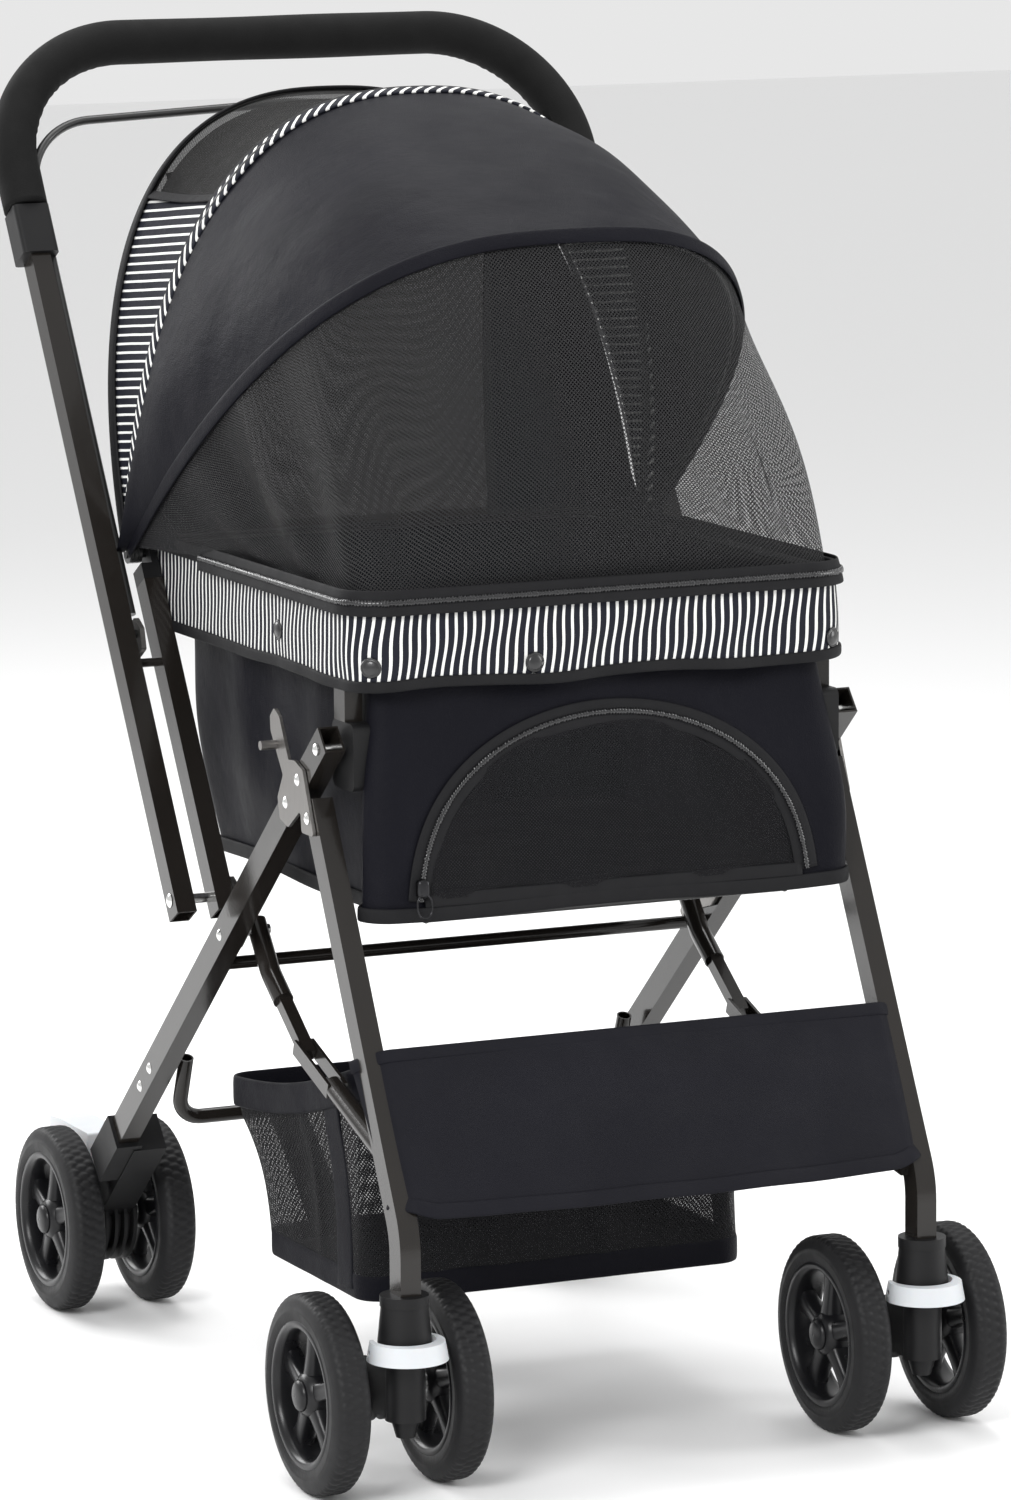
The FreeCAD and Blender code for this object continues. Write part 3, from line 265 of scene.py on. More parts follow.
# ------------------------------------------------------------------ steel fittings
# Domed rivets, pins and axle ends are polished steel. The fold plates, strut brackets and
# hooks are stamped from sheet and nickel plated, with fine rolling lines.
rivet_steel = Shader("polished_rivet_steel", (0.78, 0.78, 0.77), 0.18, metallic=1.0)
rivet_steel.grained(rivet_steel.uneven(140.0, 0.18, 0.12), 900.0, 0.0001, 0.2)
finish_nodes(rivet_steel, "frame_rivets", "rear_axles", "front_axle_left", "front_axle_right")

plate_steel = Shader("nickel_plated_sheet", (0.2, 0.195, 0.185), 0.34, metallic=1.0)
_, (plate_x, plate_y, plate_z) = plate_steel.place()
grain = plate_steel.noise(plate_steel.node("ShaderNodeCombineXYZ", {}, {
    0: plate_x, 1: plate_y * 12.0, 2: plate_z * 0.8}), 60.0)
plate_steel.put("Roughness", grain * 0.25 + 0.24)
plate_steel.put("Base Color", plate_steel.tint(grain, (0.15, 0.145, 0.14), (0.27, 0.26, 0.25)))
plate_steel.bump(grain, 0.0002, 0.3)
finish_nodes(plate_steel, "fold_plates", "strut_brackets", "handle_hooks")

# ------------------------------------------------------------------ moulded fittings
# Black nylon mouldings with a fine spark-eroded grain: housings, forks, sockets, end blocks
# and hinge heads. The two brake pedals and the two swivel locks are light grey.
black_plastic = Shader("black_moulded_nylon", (0.007, 0.007, 0.0075), 0.44, specular_ior_level=0.22)
black_plastic.grained(black_plastic.uneven(35.0, 0.2, 0.36), 1400.0, 0.0002, 0.35, 2.0)
finish_nodes(black_plastic, "rear_housing_left", "rear_housing_right", "caster_sockets", "caster_fork_left",
             "caster_fork_right", "post_blocks", "canopy_hubs", "handle_collars")

grey_plastic = Shader("light_grey_nylon", (0.56, 0.58, 0.6), 0.4, subsurface_weight=0.05)
grey_vector = grey_plastic.uneven(50.0, 0.15, 0.34)
grey_plastic.put("Base Color", grey_plastic.tint(grey_plastic.noise(grey_vector, 22.0),
                                                 (0.52, 0.54, 0.56), (0.6, 0.62, 0.64)))
grey_plastic.grained(grey_vector, 1200.0, 0.0002, 0.3, 2.0)
finish_nodes(grey_plastic, "brake_pedal_left", "brake_pedal_right", "swivel_lock_left", "swivel_lock_right")


# ------------------------------------------------------------------ wheels
# Each wheel is a moulded rim with five slim spokes and a domed hub cap, and a foamed black
# tyre with a fine diamond tread. Two share an axle at each corner.
def surface(name, points, shader, body, uv=None, flip=False, wall=0.0, close_u=False, close_v=False,
            smooth=True, skip=None):
    """A piece from a grid of points, indexed by its two parameters. Its UV map is in metres, and skip
    marks the quads that are left open."""
    rows, columns = points.shape[:2]
    i, j = np.meshgrid(np.arange(rows if close_u else rows - 1),
                       np.arange(columns if close_v else columns - 1), indexing="ij")
    next_i, next_j = (i + 1) % rows, (j + 1) % columns
    corners = np.stack([i * columns + j, i * columns + next_j, next_i * columns + next_j,
                        next_i * columns + j], -1).reshape(-1, 4)
    if skip is not None:
        corners = corners[~skip.reshape(-1)]
    if flip:
        corners = corners[:, ::-1]
    mesh = bpy.data.meshes.new(name)
    mesh.from_pydata(points.reshape(-1, 3).tolist(), [], corners.tolist())
    if uv is not None:
        layer = mesh.uv_layers.new(name="cloth")
        layer.data.foreach_set("uv", uv.reshape(-1, 2)[corners.reshape(-1)].astype(np.float32).reshape(-1))
    mesh.materials.append(shader.material)
    mesh.shade_smooth() if smooth else mesh.shade_flat()
    made = bpy.data.objects.new(name, mesh)
    bpy.context.scene.collection.objects.link(made)
    if wall:
        thicken = made.modifiers.new("wall", "SOLIDIFY")
        thicken.thickness = wall
        thicken.offset = -1.0
    if body:
        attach(made, body)
    return made


def lathe(name, profile, centre, shader, body, steps=96, relief=None):
    """A ring about the wheel's X axis: the profile's (x, radius) points turned through a circle.
    relief(x, angle) is how much further out each point stands."""
    profile = np.asarray(profile, float)
    angle = np.linspace(0, 2 * np.pi, steps, endpoint=False)
    x = np.repeat(profile[None, :, 0], steps, 0)
    radius = np.repeat(profile[None, :, 1], steps, 0)
    if relief is not None:
        radius = radius + relief(x, angle[:, None])
    points = np.stack([x + centre[0], radius * np.cos(angle)[:, None] + centre[1],
                       radius * np.sin(angle)[:, None] + centre[2]], -1)
    return surface(name, points, shader, body, close_u=True, close_v=True)


rubber = Shader("foamed_tyre_rubber", (0.010, 0.010, 0.010), 0.5, specular_ior_level=0.22)
rubber_vector = rubber.uneven(90.0, 0.25, 0.42)
rubber.put("Base Color", rubber.tint(rubber.noise(rubber_vector, 30.0),
                                     (0.007, 0.007, 0.0075), (0.013, 0.013, 0.014)))
rubber.grained(rubber_vector, 1500.0, 0.0002, 0.4, 2.0)
wheel_plastic = Shader("black_satin_rim", (0.007, 0.007, 0.008), 0.3, specular_ior_level=0.3)
wheel_plastic.grained(wheel_plastic.uneven(60.0, 0.16, 0.22), 900.0, 0.0002, 0.3, 2.0)

TYRE_RADIUS, RIM_RADIUS, HALF_WIDTH, SHOULDER = 0.075, 0.056, 0.015, 0.0125
TREAD_PITCH = 2 * math.pi / 60
TREAD_DEPTH = 0.0011
SPOKES, SPOKE_START, SPOKE_LENGTH = 5, 0.0155, 0.034


def blunt(value, power):
    """The value's size raised to a power, with its sign kept. On a sine and a cosine it makes a
    circle into a rounded square."""
    return np.sign(value) * np.abs(value) ** power


def tread(x, angle):
    """Diamond tread: the lower of two crossed rows of ridges, only on the rolling face."""
    skew = x / HALF_WIDTH * TREAD_PITCH
    ridges = np.abs(np.sin((angle + skew) * math.pi / TREAD_PITCH)) * np.abs(
        np.sin((angle - skew) * math.pi / TREAD_PITCH))
    face = np.clip((SHOULDER - np.abs(x)) / 0.001, 0, 1)
    return -TREAD_DEPTH * (1 - np.minimum(ridges * 1.8, 1)) * face


def tyre_profile():
    """Half circle shoulders on a nearly flat tread, closed by a straight seat on the rim."""
    bow = np.linspace(-1, 1, 33)
    x = HALF_WIDTH * blunt(bow, 0.8)
    crown = TYRE_RADIUS - SHOULDER * (np.abs(bow) ** 5) - 0.0005
    outer = np.stack([x, crown], 1)
    seat = [(HALF_WIDTH, RIM_RADIUS + 0.006), (HALF_WIDTH - 0.001, RIM_RADIUS - 0.001),
            (HALF_WIDTH - 0.004, RIM_RADIUS - 0.002), (-HALF_WIDTH + 0.004, RIM_RADIUS - 0.002),
            (-HALF_WIDTH + 0.001, RIM_RADIUS - 0.001), (-HALF_WIDTH, RIM_RADIUS + 0.006)]
    return np.concatenate([outer, seat])


def wheel(name, centre, side, body):
    """Tyre, rim ring, hub and cap are turned profiles. A spoke is a rounded bar that is waisted
    by a sine, flared at the ring and thicker at the hub."""
    rolling = lathe("tread_" + name, tyre_profile(), centre, rubber, body, steps=360,
                    relief=tread)
    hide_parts("tyre_" + name)
    ring = lathe("rim_ring_" + name, [
        (-0.0135, 0.0495), (-0.0145, 0.0515), (-0.0142, 0.0545), (-0.012, 0.0562), (0.012, 0.0562),
        (0.0142, 0.0545), (0.0145, 0.0515), (0.0135, 0.0495), (0.009, 0.0478), (-0.009, 0.0478)],
        centre, wheel_plastic, body)
    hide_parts("rim_" + name)
    lathe("rim_hub_" + name, [
        (-0.0135, 0.005), (-0.0135, 0.011), (-0.011, 0.0155), (-0.004, 0.0175), (0.004, 0.0175),
        (0.011, 0.0155), (0.0135, 0.011), (0.0135, 0.005)],
        centre, wheel_plastic, body, steps=48)
    dome = np.linspace(0, 1, 9)
    cap = np.stack([side * (0.0142 + 0.0040 * np.sqrt(1 - (dome * 0.999) ** 2)),
                    0.0001 + 0.0118 * dome], 1)
    lathe("hub_cap_" + name, cap.tolist() + [(side * 0.012, 0.0119), (side * 0.012, 0.0001)], centre,
          wheel_plastic, body, steps=40)
    along = np.linspace(0, 1, 12)[:, None]
    around = np.linspace(0, 2 * np.pi, 16, endpoint=False)[None, :]
    radius = SPOKE_START + SPOKE_LENGTH * along
    half = 0.0080 - 0.0012 * np.sin(np.pi * along) ** 0.8 + 0.0035 * along ** 6
    depth = 0.0068 + 0.003 * (1 - along) ** 2
    push, lift = blunt(np.cos(around), 0.6), blunt(np.sin(around), 0.6)
    for k in range(SPOKES):
        heading = 2 * np.pi * k / SPOKES + math.pi / 2
        y = radius * math.cos(heading) - half * push * math.sin(heading)
        z = radius * math.sin(heading) + half * push * math.cos(heading)
        points = np.stack([centre[0] + depth * lift, centre[1] + y, centre[2] + z], -1)
        surface(f"spoke_{k}_{name}", points, wheel_plastic, body, close_v=True)


for wheel_name in [body[6:] for body in frame["bodies"] if body.startswith("wheel_")]:
    low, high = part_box("tyre_" + wheel_name)
    middle = (low + high) / 2
    outward = math.copysign(1, middle.x) * (1 if wheel_name.endswith("outer") else -1)
    wheel(wheel_name, middle, outward, "wheel_" + wheel_name)

# ------------------------------------------------------------------ foam grip
# A length of closed-cell foam tube, pushed over the whole bend of the push handle. It wrinkles
# on the inside of the bends, is grooved at both ends for the release rod, and is cut square.
foam = Shader("closed_cell_foam", (0.006, 0.006, 0.006), 0.85, specular_ior_level=0.15)
foam_vector = foam.uneven(60.0, 0.15, 0.75)
foam.put("Base Color", foam.tint(foam.noise(foam_vector, 40.0),
                                 (0.004, 0.004, 0.004), (0.008, 0.008, 0.008)))
foam.grained(foam_vector, 900.0, 0.0006, 0.5, 4.0)
HANDLE_PIVOT = np.array(joints["handle_swing"]["pos_m"], float)
HANDLE_UP = np.array(joints["release_slide"]["axis"], float)
HANDLE_REACH, HANDLE_X, BEND, GRIP_START, GRIP_RADIUS = 0.738, 0.243, 0.110, 0.592, 0.018
GROOVE_LENGTH, GROOVE_HALF_ANGLE, GROOVE_FLOOR = 0.070, 0.42, 0.0086


def handle_line(start, step=0.004):
    """Half of the U, from one free end to the top's middle: a straight run, a quarter bend and the
    top. Gives the distance along it, x, the length up the handle and how far it has turned."""
    straight = HANDLE_REACH - BEND - start
    total = straight + BEND * math.pi / 2 + HANDLE_X - BEND
    s = np.linspace(0, total, int(total / step))
    turned = np.clip((s - straight) / BEND, 0, math.pi / 2)
    x = -HANDLE_X + BEND * (1 - np.cos(turned)) + np.clip(s - straight - BEND * math.pi / 2, 0, None)
    up = start + np.minimum(s, straight) + BEND * np.sin(turned)
    return s, x, up, turned


s, x, up, turned = handle_line(GRIP_START)
x = np.concatenate([x, -x[-2::-1]])
up = np.concatenate([up, up[-2::-1]])
turned = np.concatenate([turned, math.pi - turned[-2::-1]])
s = np.concatenate([s, 2 * s[-1] - s[-2::-1]])
centre = HANDLE_PIVOT + np.outer(up, HANDLE_UP) + np.outer(x, (1, 0, 0))
inward = np.outer(np.cos(turned), (1, 0, 0)) - np.outer(np.sin(turned), HANDLE_UP)
across = np.cross(HANDLE_UP, (1, 0, 0))
ring = np.linspace(0, 2 * np.pi, 40, endpoint=False)
bent = np.sin(2 * np.minimum(turned, math.pi - turned)).clip(0, 1)
wrinkle = np.sin(s * 900 + np.sin(s * 131) * 2.2)[:, None] * np.clip(np.cos(ring), 0, 1)[None, :] ** 2
swell = 0.0004 * np.sin(s * 37)[:, None] * np.cos(2 * ring)[None, :]
reach = GRIP_RADIUS - 0.0003 + 0.0005 * wrinkle * bent[:, None] + swell
from_end = np.minimum(s, s[-1] - s)[:, None]
off_inside = np.abs((ring + math.pi) % (2 * math.pi) - math.pi)
groove = np.clip((GROOVE_LENGTH - from_end) / 0.006, 0, 1) * np.clip(
    (GROOVE_HALF_ANGLE - off_inside) / 0.08, 0, 1)[None, :]
reach = reach * (1 - groove) + GROOVE_FLOOR * groove
grip_points = (centre[:, None, :] + reach[..., None] * (
    np.cos(ring)[None, :, None] * inward[:, None, :] + np.sin(ring)[None, :, None] * across[None, None, :]))
ends = [np.repeat(centre[k][None, None, :], len(ring), 1) for k in (0, -1)]
hole = [centre[k][None, None, :] + (grip_points[k][None] - centre[k]) * 0.72 for k in (0, -1)]
grip_points = np.concatenate([ends[0], hole[0], grip_points, hole[1], ends[1]])
grip = surface("foam_grip", grip_points, foam, "handle", close_v=True)
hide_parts("handle_grip")

# ------------------------------------------------------------------ canopy cloth
# Three bows of spring wire turn on one hinge head at each side. Striped cotton-feel cloth
# covers the rear section's sides, black net its top, and charcoal polyester the front
# section. Every edge is bound in tape.
CANOPY_PIVOT = np.array(joints["canopy_fold"]["pos_m"], float)
REAR_BOW = dict(reach=0.364, lean=20.0, half=0.2195, power=2.48)
MID_BOW = dict(reach=0.357, lean=-10.0, half=0.2195, power=2.45)
FRONT_BOW = dict(reach=0.436, lean=-53.0, half=0.2195, power=2.75)


def unit(vectors):
    """Each vector over its own length."""
    return vectors / np.linalg.norm(vectors, axis=-1, keepdims=True)


def length_along(line):
    """How far along the line each of its points is: the running sum of its steps."""
    return np.concatenate([[0], np.cumsum(np.linalg.norm(np.diff(line, axis=0), axis=1))])


def bow_points(bow, t, grow=0.0):
    """A superellipse arch across the stroller: |x / half|^power + |r / reach|^power = 1, where r is
    the distance from the hinge in the bow's leaning plane."""
    t = np.asarray(t, float)
    x = -blunt(np.cos(t), 2 / bow["power"]) * (bow["half"] + grow)
    r = np.abs(np.sin(t)) ** (2 / bow["power"]) * (bow["reach"] + grow)
    lean = np.radians(bow["lean"])
    return np.stack([x, CANOPY_PIVOT[1] + r * np.sin(lean), CANOPY_PIVOT[2] + r * np.cos(lean)], -1)


def even_turns(bow, count, low=0.0, high=1.0):
    """Values of t at even steps along the arch, between two shares of its length."""
    t = np.linspace(0.002, math.pi - 0.002, 4000)
    run = length_along(bow_points(bow, t))
    return np.interp(np.linspace(low, high, count) * run[-1], run, t)


def span_cover(first, second, rows, columns, low, high, bulge, wrinkles, grow=0.003):
    """Cloth between two arches: straight rulings from one to the other, bulged outwards by a
    sine across them, with soft wrinkles that fan out from the hinge."""
    share = np.linspace(0, 1, rows)[:, None, None]
    a = bow_points(first, even_turns(first, columns, low, high), grow)[None]
    b = bow_points(second, even_turns(second, columns, low, high), grow)[None]
    points = a * (1 - share) + b * share
    out = points - (0, CANOPY_PIVOT[1], CANOPY_PIVOT[2])
    out[..., 0] *= 0.8
    out = unit(out)
    arch = np.linspace(low, high, columns)[None, :]
    mid = np.sin(math.pi * share[..., 0])
    push = bulge * mid + wrinkles * mid ** 0.7 * (
        np.sin(arch * 31 + 5 * share[..., 0]) * 0.5 + np.sin(arch * 67 + 9 * share[..., 0] + 1.3) * 0.3
        + np.sin(arch * 13 - 4 * share[..., 0] + 0.4))
    points = points + out * push[..., None]
    step = np.linalg.norm(np.diff(points, axis=1), axis=2)
    u = np.concatenate([np.zeros((rows, 1)), np.cumsum(step, axis=1)], 1)
    v = np.repeat(share[..., 0] * np.linalg.norm(b - a, axis=-1).mean(), columns, 1)
    return points, np.stack([u, v], -1)


NAVY, WHITE = (0.010, 0.011, 0.017), (0.72, 0.72, 0.70)
striped = Shader("navy_white_pinstripe_cloth", NAVY, 0.75, specular_ior_level=0.15)
stripe_vector = striped.uneven(200.0, 0.2, 0.62)
_, (_, stripe_y, stripe_z) = striped.place()
wander = striped.noise(stripe_vector, 14.0) * 0.0012
lines = ((stripe_z + stripe_y * 0.10 + wander).saw(0.0069) < 0.27)
striped.put("Base Color", striped.tint(lines, NAVY, WHITE))
striped.bump(striped.noise(stripe_vector, 700.0) * 0.5 + striped.noise(stripe_vector, 30.0),
             0.0012, 0.5)

charcoal = Shader("charcoal_polyester", (0.006, 0.006, 0.009), 0.5, specular_ior_level=0.05)
charcoal_vector = charcoal.uneven(24.0, 0.2, 0.38)
charcoal.put("Base Color", charcoal.tint(charcoal.noise(charcoal_vector, 8.0),
                                         (0.0045, 0.0045, 0.0065), (0.008, 0.008, 0.0115)))
charcoal.bump(charcoal.noise(charcoal_vector, 1100.0, 2.0) * 0.12
              + charcoal.noise(charcoal_vector, 15.0, 5.0), 0.006, 0.7)

tape = Shader("black_binding_tape", (0.006, 0.006, 0.007), 0.7, specular_ior_level=0.2)
tape.grained(tape.uneven(80.0, 0.2, 0.6), 1300.0, 0.0006, 0.5)


def net_shader(name, pitch, hole, haze, color):
    """Knitted net: threads on a slanted grid, open between them."""
    shader = Shader(name, color, 0.7, specular_ior_level=0.12)
    _, (u, v, _) = shader.place("UV")
    a = ((u + v) * (1 / pitch)).math("FRACT") - 0.5
    b = ((u - v) * (1 / pitch)).math("FRACT") - 0.5
    opening = (a.math("ABSOLUTE") < hole) * (b.math("ABSOLUTE") < hole)
    shader.put("Alpha", 1.0 - opening * (1.0 - haze))
    shader.uneven(60.0, 0.2, 0.6)
    shader.material.surface_render_method = "DITHERED"
    return shader


open_net = net_shader("black_screen_net", 0.0031, 0.34, 0.16, (0.024, 0.024, 0.025))
dense_net = net_shader("black_window_net", 0.0028, 0.30, 0.55, (0.006, 0.006, 0.006))
lining_net = net_shader("dark_brown_lining_net", 0.0024, 0.26, 0.86, (0.020, 0.014, 0.011))

WINDOW = 0.305
MESH_ROWS, MESH_COLUMNS = 22, 150
HINGE = np.array([0, CANOPY_PIVOT[1], CANOPY_PIVOT[2]])
for side_name, low, high in (("left", 0.0, WINDOW), ("right", 1 - WINDOW, 1.0)):
    points, uv = span_cover(REAR_BOW, MID_BOW, MESH_ROWS, 70, low, high, -0.004, 0.0012)
    panel = surface("canopy_rear_side_" + side_name, points, striped, None, uv, flip=True, wall=0.0009)
    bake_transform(panel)
    if side_name == "left":
        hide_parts("canopy_rear")
points, uv = span_cover(REAR_BOW, MID_BOW, MESH_ROWS, MESH_COLUMNS, WINDOW, 1 - WINDOW, -0.005, 0.0008)
window = surface("canopy_rear_window", points, dense_net, None, uv, flip=True)
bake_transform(window)

points, uv = span_cover(MID_BOW, FRONT_BOW, 60, 220, 0.0, 1.0, 0.012, 0.0022)
front_cover = surface("canopy_front_cover", points, charcoal, None, uv, flip=True, wall=0.0009)
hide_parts("canopy_front")
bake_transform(front_cover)


def binding(name, line, width, thick, out, shader, body, closed=False):
    """Tape folded over an edge: a flat rounded section carried along a line. out is the direction
    away from the cloth at each point, and width runs across the tape."""
    ahead = unit(np.gradient(line, axis=0))
    out = unit(out - (out * ahead).sum(1, keepdims=True) * ahead)
    wide = np.cross(ahead, out)
    turn = np.linspace(0, 2 * np.pi, 14, endpoint=False)
    across = blunt(np.cos(turn), 0.5) * width / 2
    lift = blunt(np.sin(turn), 0.7) * thick / 2
    points = line[:, None] + across[None, :, None] * wide[:, None] + lift[None, :, None] * out[:, None]
    uv = np.stack(np.broadcast_arrays(length_along(line)[:, None], across[None, :]), -1)
    if not closed:
        caps = [np.repeat(points[k].mean(0)[None, None], len(turn), 1) for k in (0, -1)]
        points = np.concatenate([caps[0], points, caps[1]])
        uv = np.concatenate([uv[:1], uv, uv[-1:]])
    return surface(name, points, shader, body, uv, close_v=True, close_u=closed)


piping = Shader("striped_piping", NAVY, 0.75, specular_ior_level=0.15)
_, (run_u, run_v, _) = piping.place("UV")
slant = ((run_u + run_v).saw(0.0104) < 0.34) * (run_v.math("ABSOLUTE") < 0.0068)
piping.put("Base Color", piping.tint(slant, NAVY, WHITE))
piping.grained(piping.uneven(200.0, 0.2, 0.62), 700.0, 0.0008, 0.5)


def bow_edge(bow, grow, low=0.0, high=1.0, count=260, shift=0.0):
    """A line along an arch, and the direction away from the hinge at each of its points."""
    moved = dict(bow, lean=bow["lean"] + shift)
    line = bow_points(moved, even_turns(moved, count, low, high), grow)
    return line, line - HINGE


line, out = bow_edge(MID_BOW, 0.0042)
binding("canopy_mid_piping", line, 0.0135, 0.003, out, piping, "mid_bow")
line, out = bow_edge(MID_BOW, 0.0040, shift=1.25)
binding("canopy_mid_tape", line, 0.006, 0.003, out, tape, "mid_bow")
line, out = bow_edge(FRONT_BOW, 0.0042)
binding("canopy_front_hem", line, 0.013, 0.003, out, charcoal, "front_bow")
line, out = bow_edge(REAR_BOW, 0.0040)
binding("canopy_rear_hem", line, 0.014, 0.003, out, tape, "rear_frame")
for k, share in enumerate((WINDOW, 1 - WINDOW)):
    span = np.linspace(0, 1, 30)[:, None]
    ends_at = [bow_points(bow, even_turns(bow, 2, share, share + 1e-4), 0.0035)[0]
               for bow in (REAR_BOW, MID_BOW)]
    line = ends_at[0] * (1 - span) + ends_at[1] * span
    out = line - HINGE
    edge = binding(f"canopy_window_tape_{k}", line - unit(out) * 0.003 * np.sin(math.pi * span),
                   0.010, 0.0022, out, tape, None)
    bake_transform(edge)

# ------------------------------------------------------------------ front screen
# Black screen net, sewn to the front bow and zipped to the rim. It falls over the pet's head
# room in loose vertical folds.
RIM_LOW, RIM_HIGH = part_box("rim_frame")
RIM_Z = (RIM_LOW.z + RIM_HIGH.z) / 2
RIM_FRONT, RIM_BACK, RIM_SIDE, RIM_CORNER = RIM_LOW.y, RIM_HIGH.y, RIM_HIGH.x, 0.024


def rounded_loop(side, front, back, corner, count, start=0.0, stop=1.0):
    """A level outline with quarter-circle corners, from the middle of the back round by -X to the
    front and back by +X, in even steps between two shares of its length. Gives its points, the
    outward directions and the distances along it."""
    quarter = np.linspace(0, math.pi / 2, 24)
    parts = []
    for cx, cy, first in ((-side + corner, back - corner, 90), (-side + corner, front + corner, 180),
                          (side - corner, front + corner, 270), (side - corner, back - corner, 0)):
        a = math.radians(first) + quarter
        parts.append(np.stack([cx + corner * np.cos(a), cy + corner * np.sin(a)], 1))
    loop = np.concatenate([[(0, back)], *parts, [(0, back)]])
    run = length_along(loop)
    at = np.linspace(start, stop, count) * run[-1]
    flat = np.stack([np.interp(at, run, loop[:, 0]), np.interp(at, run, loop[:, 1])], 1)
    ahead = unit(np.gradient(flat, axis=0))
    return flat, np.stack([ahead[:, 1], -ahead[:, 0]], 1), at


SCREEN_START, SCREEN_STOP = 0.235, 0.765
SCREEN_ROWS, SCREEN_COLUMNS = 46, 240
flat, outward, _ = rounded_loop(RIM_SIDE - 0.002, RIM_FRONT + 0.002, RIM_BACK, RIM_CORNER,
                                SCREEN_COLUMNS, SCREEN_START, SCREEN_STOP)
foot = np.concatenate([flat, np.full((SCREEN_COLUMNS, 1), RIM_Z + 0.008)], 1)
head = bow_points(FRONT_BOW, even_turns(FRONT_BOW, SCREEN_COLUMNS, 0.005, 0.995), 0.002)
down = np.linspace(0, 1, SCREEN_ROWS)[:, None, None]
screen = head[None] * (1 - down) + foot[None] * down
spread = np.linspace(0, 1, SCREEN_COLUMNS)[None, :]
fold = 0.009 * np.sin(math.pi * down[..., 0]) ** 0.8 * (
    np.sin(spread * 70 + 2 * down[..., 0]) * np.exp(-((spread - 0.22) / 0.16) ** 2)
    + np.sin(spread * 62 - down[..., 0]) * np.exp(-((spread - 0.84) / 0.13) ** 2))
belly = 0.026 * np.sin(math.pi * down[..., 0]) * np.sin(math.pi * spread) ** 0.5
normal_y = -0.85 * np.sin(math.pi * spread) ** 0.5
normal_x = np.sign(spread - 0.5) * np.abs(np.cos(math.pi * spread)) ** 1.5
screen[..., 0] += normal_x * fold
screen[..., 1] += normal_y * (fold + belly)
screen[..., 2] += 0.35 * belly
step_u = np.linalg.norm(np.diff(screen, axis=1), axis=2)
screen_u = np.concatenate([np.zeros((SCREEN_ROWS, 1)), np.cumsum(step_u, axis=1)], 1)
screen_u = screen_u - screen_u[:, SCREEN_COLUMNS // 2][:, None]
step_v = np.linalg.norm(np.diff(screen, axis=0), axis=2)
screen_v = np.concatenate([np.zeros((1, SCREEN_COLUMNS)), np.cumsum(step_v, axis=0)], 0)
net = surface("front_screen", screen, open_net, None, np.stack([screen_u, screen_v], -1), flip=True)
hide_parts("canopy_mesh")
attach(net, "front_bow")
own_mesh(net)

# ------------------------------------------------------------------ cabin tub
# Charcoal polyester sewn into a bucket that hangs from the rim wire. A striped band, folded over
# the rim, hides the wire and the tops of the posts.
TUB_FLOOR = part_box("cabin_tub")[0].z
FRONT_AT_FLOOR, FRONT_RISE = -0.2721, 0.029
TUB_COLUMNS = 360


def tub_outline(height, count=TUB_COLUMNS):
    """The bucket's outline at a height: longer at the top than at the floor, and wider at the front
    of the floor than beside the struts."""
    part = (height - TUB_FLOOR) / (RIM_Z - TUB_FLOOR)
    front = FRONT_AT_FLOOR + FRONT_RISE * part
    back = 0.090 + 0.066 * part
    flat, outward, _ = rounded_loop(0.171 + 0.011 * part, front, back, 0.018 + 0.012 * part, count)
    past = np.clip((-0.225 - flat[:, 1]) / 0.035, 0, 1)
    flare = (0.026 - 0.014 * part) * past ** 2 * (3 - 2 * past)
    flat[:, 0] += np.sign(flat[:, 0]) * flare * np.clip(np.abs(flat[:, 0]) / 0.1, 0, 1)
    return flat, outward


DOOR_HALF, DOOR_TALL = 0.158, 0.128
DOOR_FOOT = TUB_FLOOR + 0.013


def door_half(z):
    """Half of the door's width at a height: straight near its foot, and rounded over the top."""
    rise = np.clip((z - DOOR_FOOT) / DOOR_TALL, 0, 1)
    return DOOR_HALF * (1 - 0.10 * rise) * (1 - rise ** 2.6) ** 0.5


rows = []
share = np.linspace(0, 1, TUB_COLUMNS)
for height in np.linspace(TUB_FLOOR + 0.001, RIM_Z + 0.0015, 64):
    flat, outward = tub_outline(height)
    part = (height - TUB_FLOOR) / (RIM_Z - TUB_FLOOR)
    drape = 0.0022 * max(math.sin(math.pi * part), 0.0) ** 0.7 * (
        np.sin(share * 61 + 3 * part) + 0.6 * np.sin(share * 113 - 5 * part + 0.7)
        + 0.5 * np.sin(share * 29 + 9 * part))
    sag = 0.004 * math.sin(math.pi * min(part * 1.3, 1.0))
    past_side = np.clip((np.abs(flat[:, 0]) - DOOR_HALF) / 0.02, 0, 1)
    past_top = np.clip((height - DOOR_FOOT - DOOR_TALL - 0.006) / 0.02, 0, 1)
    calm = np.where(flat[:, 1] < -0.2, np.maximum(past_side, past_top), 1.0)
    moved = flat + outward * (drape * calm + sag)[:, None]
    rows.append(np.concatenate([moved, np.full((TUB_COLUMNS, 1), height)], 1))
tub_points = np.array(rows)
quad = (tub_points[:-1, :-1] + tub_points[1:, 1:]) / 2
quad = np.concatenate([quad, ((tub_points[:-1, -1] + tub_points[1:, 0]) / 2)[:, None]], 1)
opened = (quad[..., 1] < -0.2) & (quad[..., 2] > DOOR_FOOT) & (
    np.abs(quad[..., 0]) < door_half(quad[..., 2]) - 0.004)
tub = surface("cabin_tub_cloth", tub_points, charcoal, "rear_frame", close_v=True, flip=True, wall=0.0012,
              skip=opened)
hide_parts("cabin_tub")
flat, outward = tub_outline(TUB_FLOOR + 0.001)
rings = np.linspace(1.0, 0.0, 10)[:, None, None]
